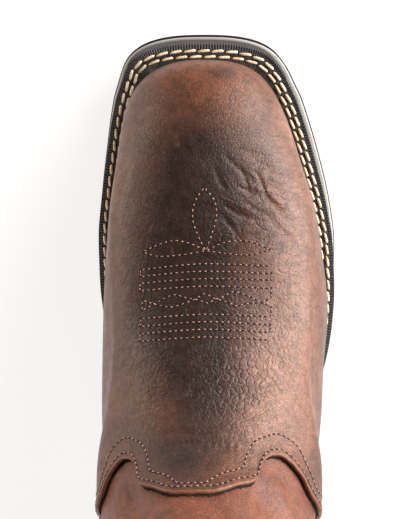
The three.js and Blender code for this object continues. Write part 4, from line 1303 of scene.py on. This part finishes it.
# Twisted thread: oblique plies along the stitch, drawn as bands of painted shade between them, and some
# stitches more soiled than others
def makeThread(name, dark, pale, plies):
    material, tree, shader = newMaterial(name)
    ply = maths(tree, "SINE", maths(tree, "MULTIPLY", field(tree, "along"), plies * 2 * math.pi))
    soil = noise(tree, objectSpace(tree), 300.0, 4.0)
    tone = blendColours(tree, spread(tree, soil, 0.3, 0.62), dark, pale)
    # painted shade between the plies, added to the soil of some stitches
    plyShadeAndSoil = maths(tree, "ADD", spread(tree, ply, -1.0, 0.2, 0.2, 0.0),
                   spread(tree, field(tree, "which"), 0.5, 1.0, 0.0, 0.18))
    tone = blendColours(tree, plyShadeAndSoil, tone, tuple(c * 0.35 for c in dark))
    setInputs(tree, shader, {"Base Color": tone})
    shader.inputs["Roughness"].default_value = 0.6
    return material


finishes = [
    (makeLeather, "vampLeather", hideSet["vamp"]),
    (makeLeather, "shaftLeather", hideSet["shaft"]),
    (makeLeather, "trimLeather", hideSet["trim"]),
    # near-black finish of painted shade: the vamp's edge shadow and the needle holes
    (makeRubber, "darkEdge", (0.004, 0.002, 0.0015), 0.9, 0.05),
    (makeRubber, "outsoleRubber", (0.006, 0.006, 0.008), 0.55, 0.15),
    (makeRubber, "midsoleRubber", (0.35, 0.335, 0.31), 0.65, 0.1),
    (makeWeltRubber, "weltRubber"),
    (makeRubber, "insoleCloth", (0.28, 0.2, 0.14), 0.85, 0.4),
    (makeThread, "creamThread", (0.75, 0.5, 0.28), (1.0, 0.85, 0.62), 4),
    (makeThread, "pinkThread", (0.3, 0.13, 0.1), (0.55, 0.28, 0.21), 2),
]
finish = {name: make(name, *given) for make, name, *given in finishes}
print("finishes made")

# Pieces: name, what makes it, finish, slot and the solid that it stands for
pieces = [
    ("outsole_tread", makeOutsole, "outsoleRubber", "outsole_rubber", "outsole"),
    ("midsole_band", makeMidsole, "midsoleRubber", "midsole_rubber", "midsole"),
    ("welt_strip", makeWelt, "weltRubber", "welt_rubber", "welt"),
    ("insole_board", makeInsole, "insoleCloth", "insole_cloth", "insole"),
    ("heel_stack", makeHeelBlock, "outsoleRubber", "outsole_rubber", "heel_block"),
    ("heel_rubber", makeHeelCap, "outsoleRubber", "outsole_rubber", "heel_cap"),
    ("shaft_leather", makeShaft, "shaftLeather", "shaft_leather", "upper"),
    ("vamp_leather", makeVamp, "vampLeather", "vamp_leather", "vamp"),
    ("counter_leather", makeCounter, "vampLeather", "vamp_leather", "counter"),
    ("collar_binding_leather", makeBinding, "trimLeather", "trim_leather", "collar_binding"),
]
for name, make, look, slot, node in pieces:
    addPiece(name, make(), finish[look], slot, node)
for side, sign in (("outer", 1), ("inner", -1)):
    addPiece("strap_" + side, makeStrap(sign), finish["trimLeather"], "trim_leather", "pull_strap_" + side)
    addPiece("seam_" + side, makeSideSeam(sign), finish["trimLeather"], "trim_leather", "side_seam_" + side)
addPiece("welt_thread", weltThread(), finish["creamThread"], "midsole_rubber")
# the vamp's edge shadow: a dark strip of painted shadow on the shaft
addPiece("vamp_edge_shadow", makeEdgeShadow(), finish["darkEdge"], "vamp_leather")
# the dark hole discs are painted shade in the needle holes
for name, runs, slot in (("vamp", vampRuns(), "vamp_leather"), ("trim", trimRuns(), "trim_leather")):
    addPiece(name + "_thread", threadMesh(name + "Thread", runs, "fine"), finish["pinkThread"], slot)
    addPiece(name + "_holes", holeMesh(name + "Holes", runs), finish["darkEdge"], slot)

# Studio: a pale floor, soft lamps and a surround that is bright at the horizon and dark overhead
studio = {
    "half": 3000, "floor": (0.38, 0.38, 0.38), "rough": 0.9, "glow": 0.75, "horizon": 0.28, "zenith": 0.03,
    "upTo": 0.8, "aim": (0, 0.03, 0.08),
}
lamps = [
    {"name": "keyLamp", "place": (1.38, 0.58, 0.64), "size": (2.3, 1.2), "power": 92,
     "colour": (1, 0.97, 0.95)},
    {"name": "fillLamp", "place": (-1.45, 0.5, 0.36), "size": (1.8, 0.6), "power": 18,
     "colour": (1, 0.86, 0.74)},
    {"name": "heelLamp", "place": (-0.2, -1.4, 1.0), "size": (1.4, 1.0), "power": 10,
     "colour": (1, 0.98, 0.96)},
]


def makeFloor():
    half = studio["half"]
    points = np.array([(-half, -half, 0), (half, -half, 0), (half, half, 0), (-half, half, 0)], float)
    floor = bpy.data.objects.new("floor", buildMesh("floor", points, np.array([[0, 1, 2, 3]]), turn=False))
    bpy.context.scene.collection.objects.link(floor)
    material, tree, shader = newMaterial("paleFloor")
    setInputs(tree, shader, {"Base Color": studio["floor"], "Emission Color": (1, 1, 1)})
    shader.inputs["Emission Strength"].default_value = studio["glow"]
    shader.inputs["Roughness"].default_value = studio["rough"]
    floor.data.materials.append(material)


def makeLamps():
    for lamp in lamps:
        data = bpy.data.lights.new(lamp["name"], "AREA")
        data.shape = "RECTANGLE"
        data.energy, data.color = lamp["power"], lamp["colour"]
        data.size, data.size_y = lamp["size"]
        light = bpy.data.objects.new(lamp["name"], data)
        light.location = lamp["place"]
        aim = Vector(studio["aim"]) - light.location
        light.rotation_euler = aim.to_track_quat("-Z", "Y").to_euler()
        bpy.context.scene.collection.objects.link(light)


# The surround's brightness falls with the height of the direction looked in
def makeSurround():
    world = bpy.data.worlds.new("studio")
    world.use_nodes = True
    tree = world.node_tree
    way = addNode(tree, "TexCoord").outputs["Generated"]
    up = addNode(tree, "SeparateXYZ", {"Vector": way}).outputs["Z"]
    glow = spread(tree, up, 0.0, studio["upTo"], studio["horizon"], studio["zenith"])
    setInputs(tree, tree.nodes["Background"], {"Color": glow})
    bpy.context.scene.world = world
    bpy.context.scene.view_settings.view_transform = "Standard"


makeFloor()
makeLamps()
makeSurround()
print("studio lit")
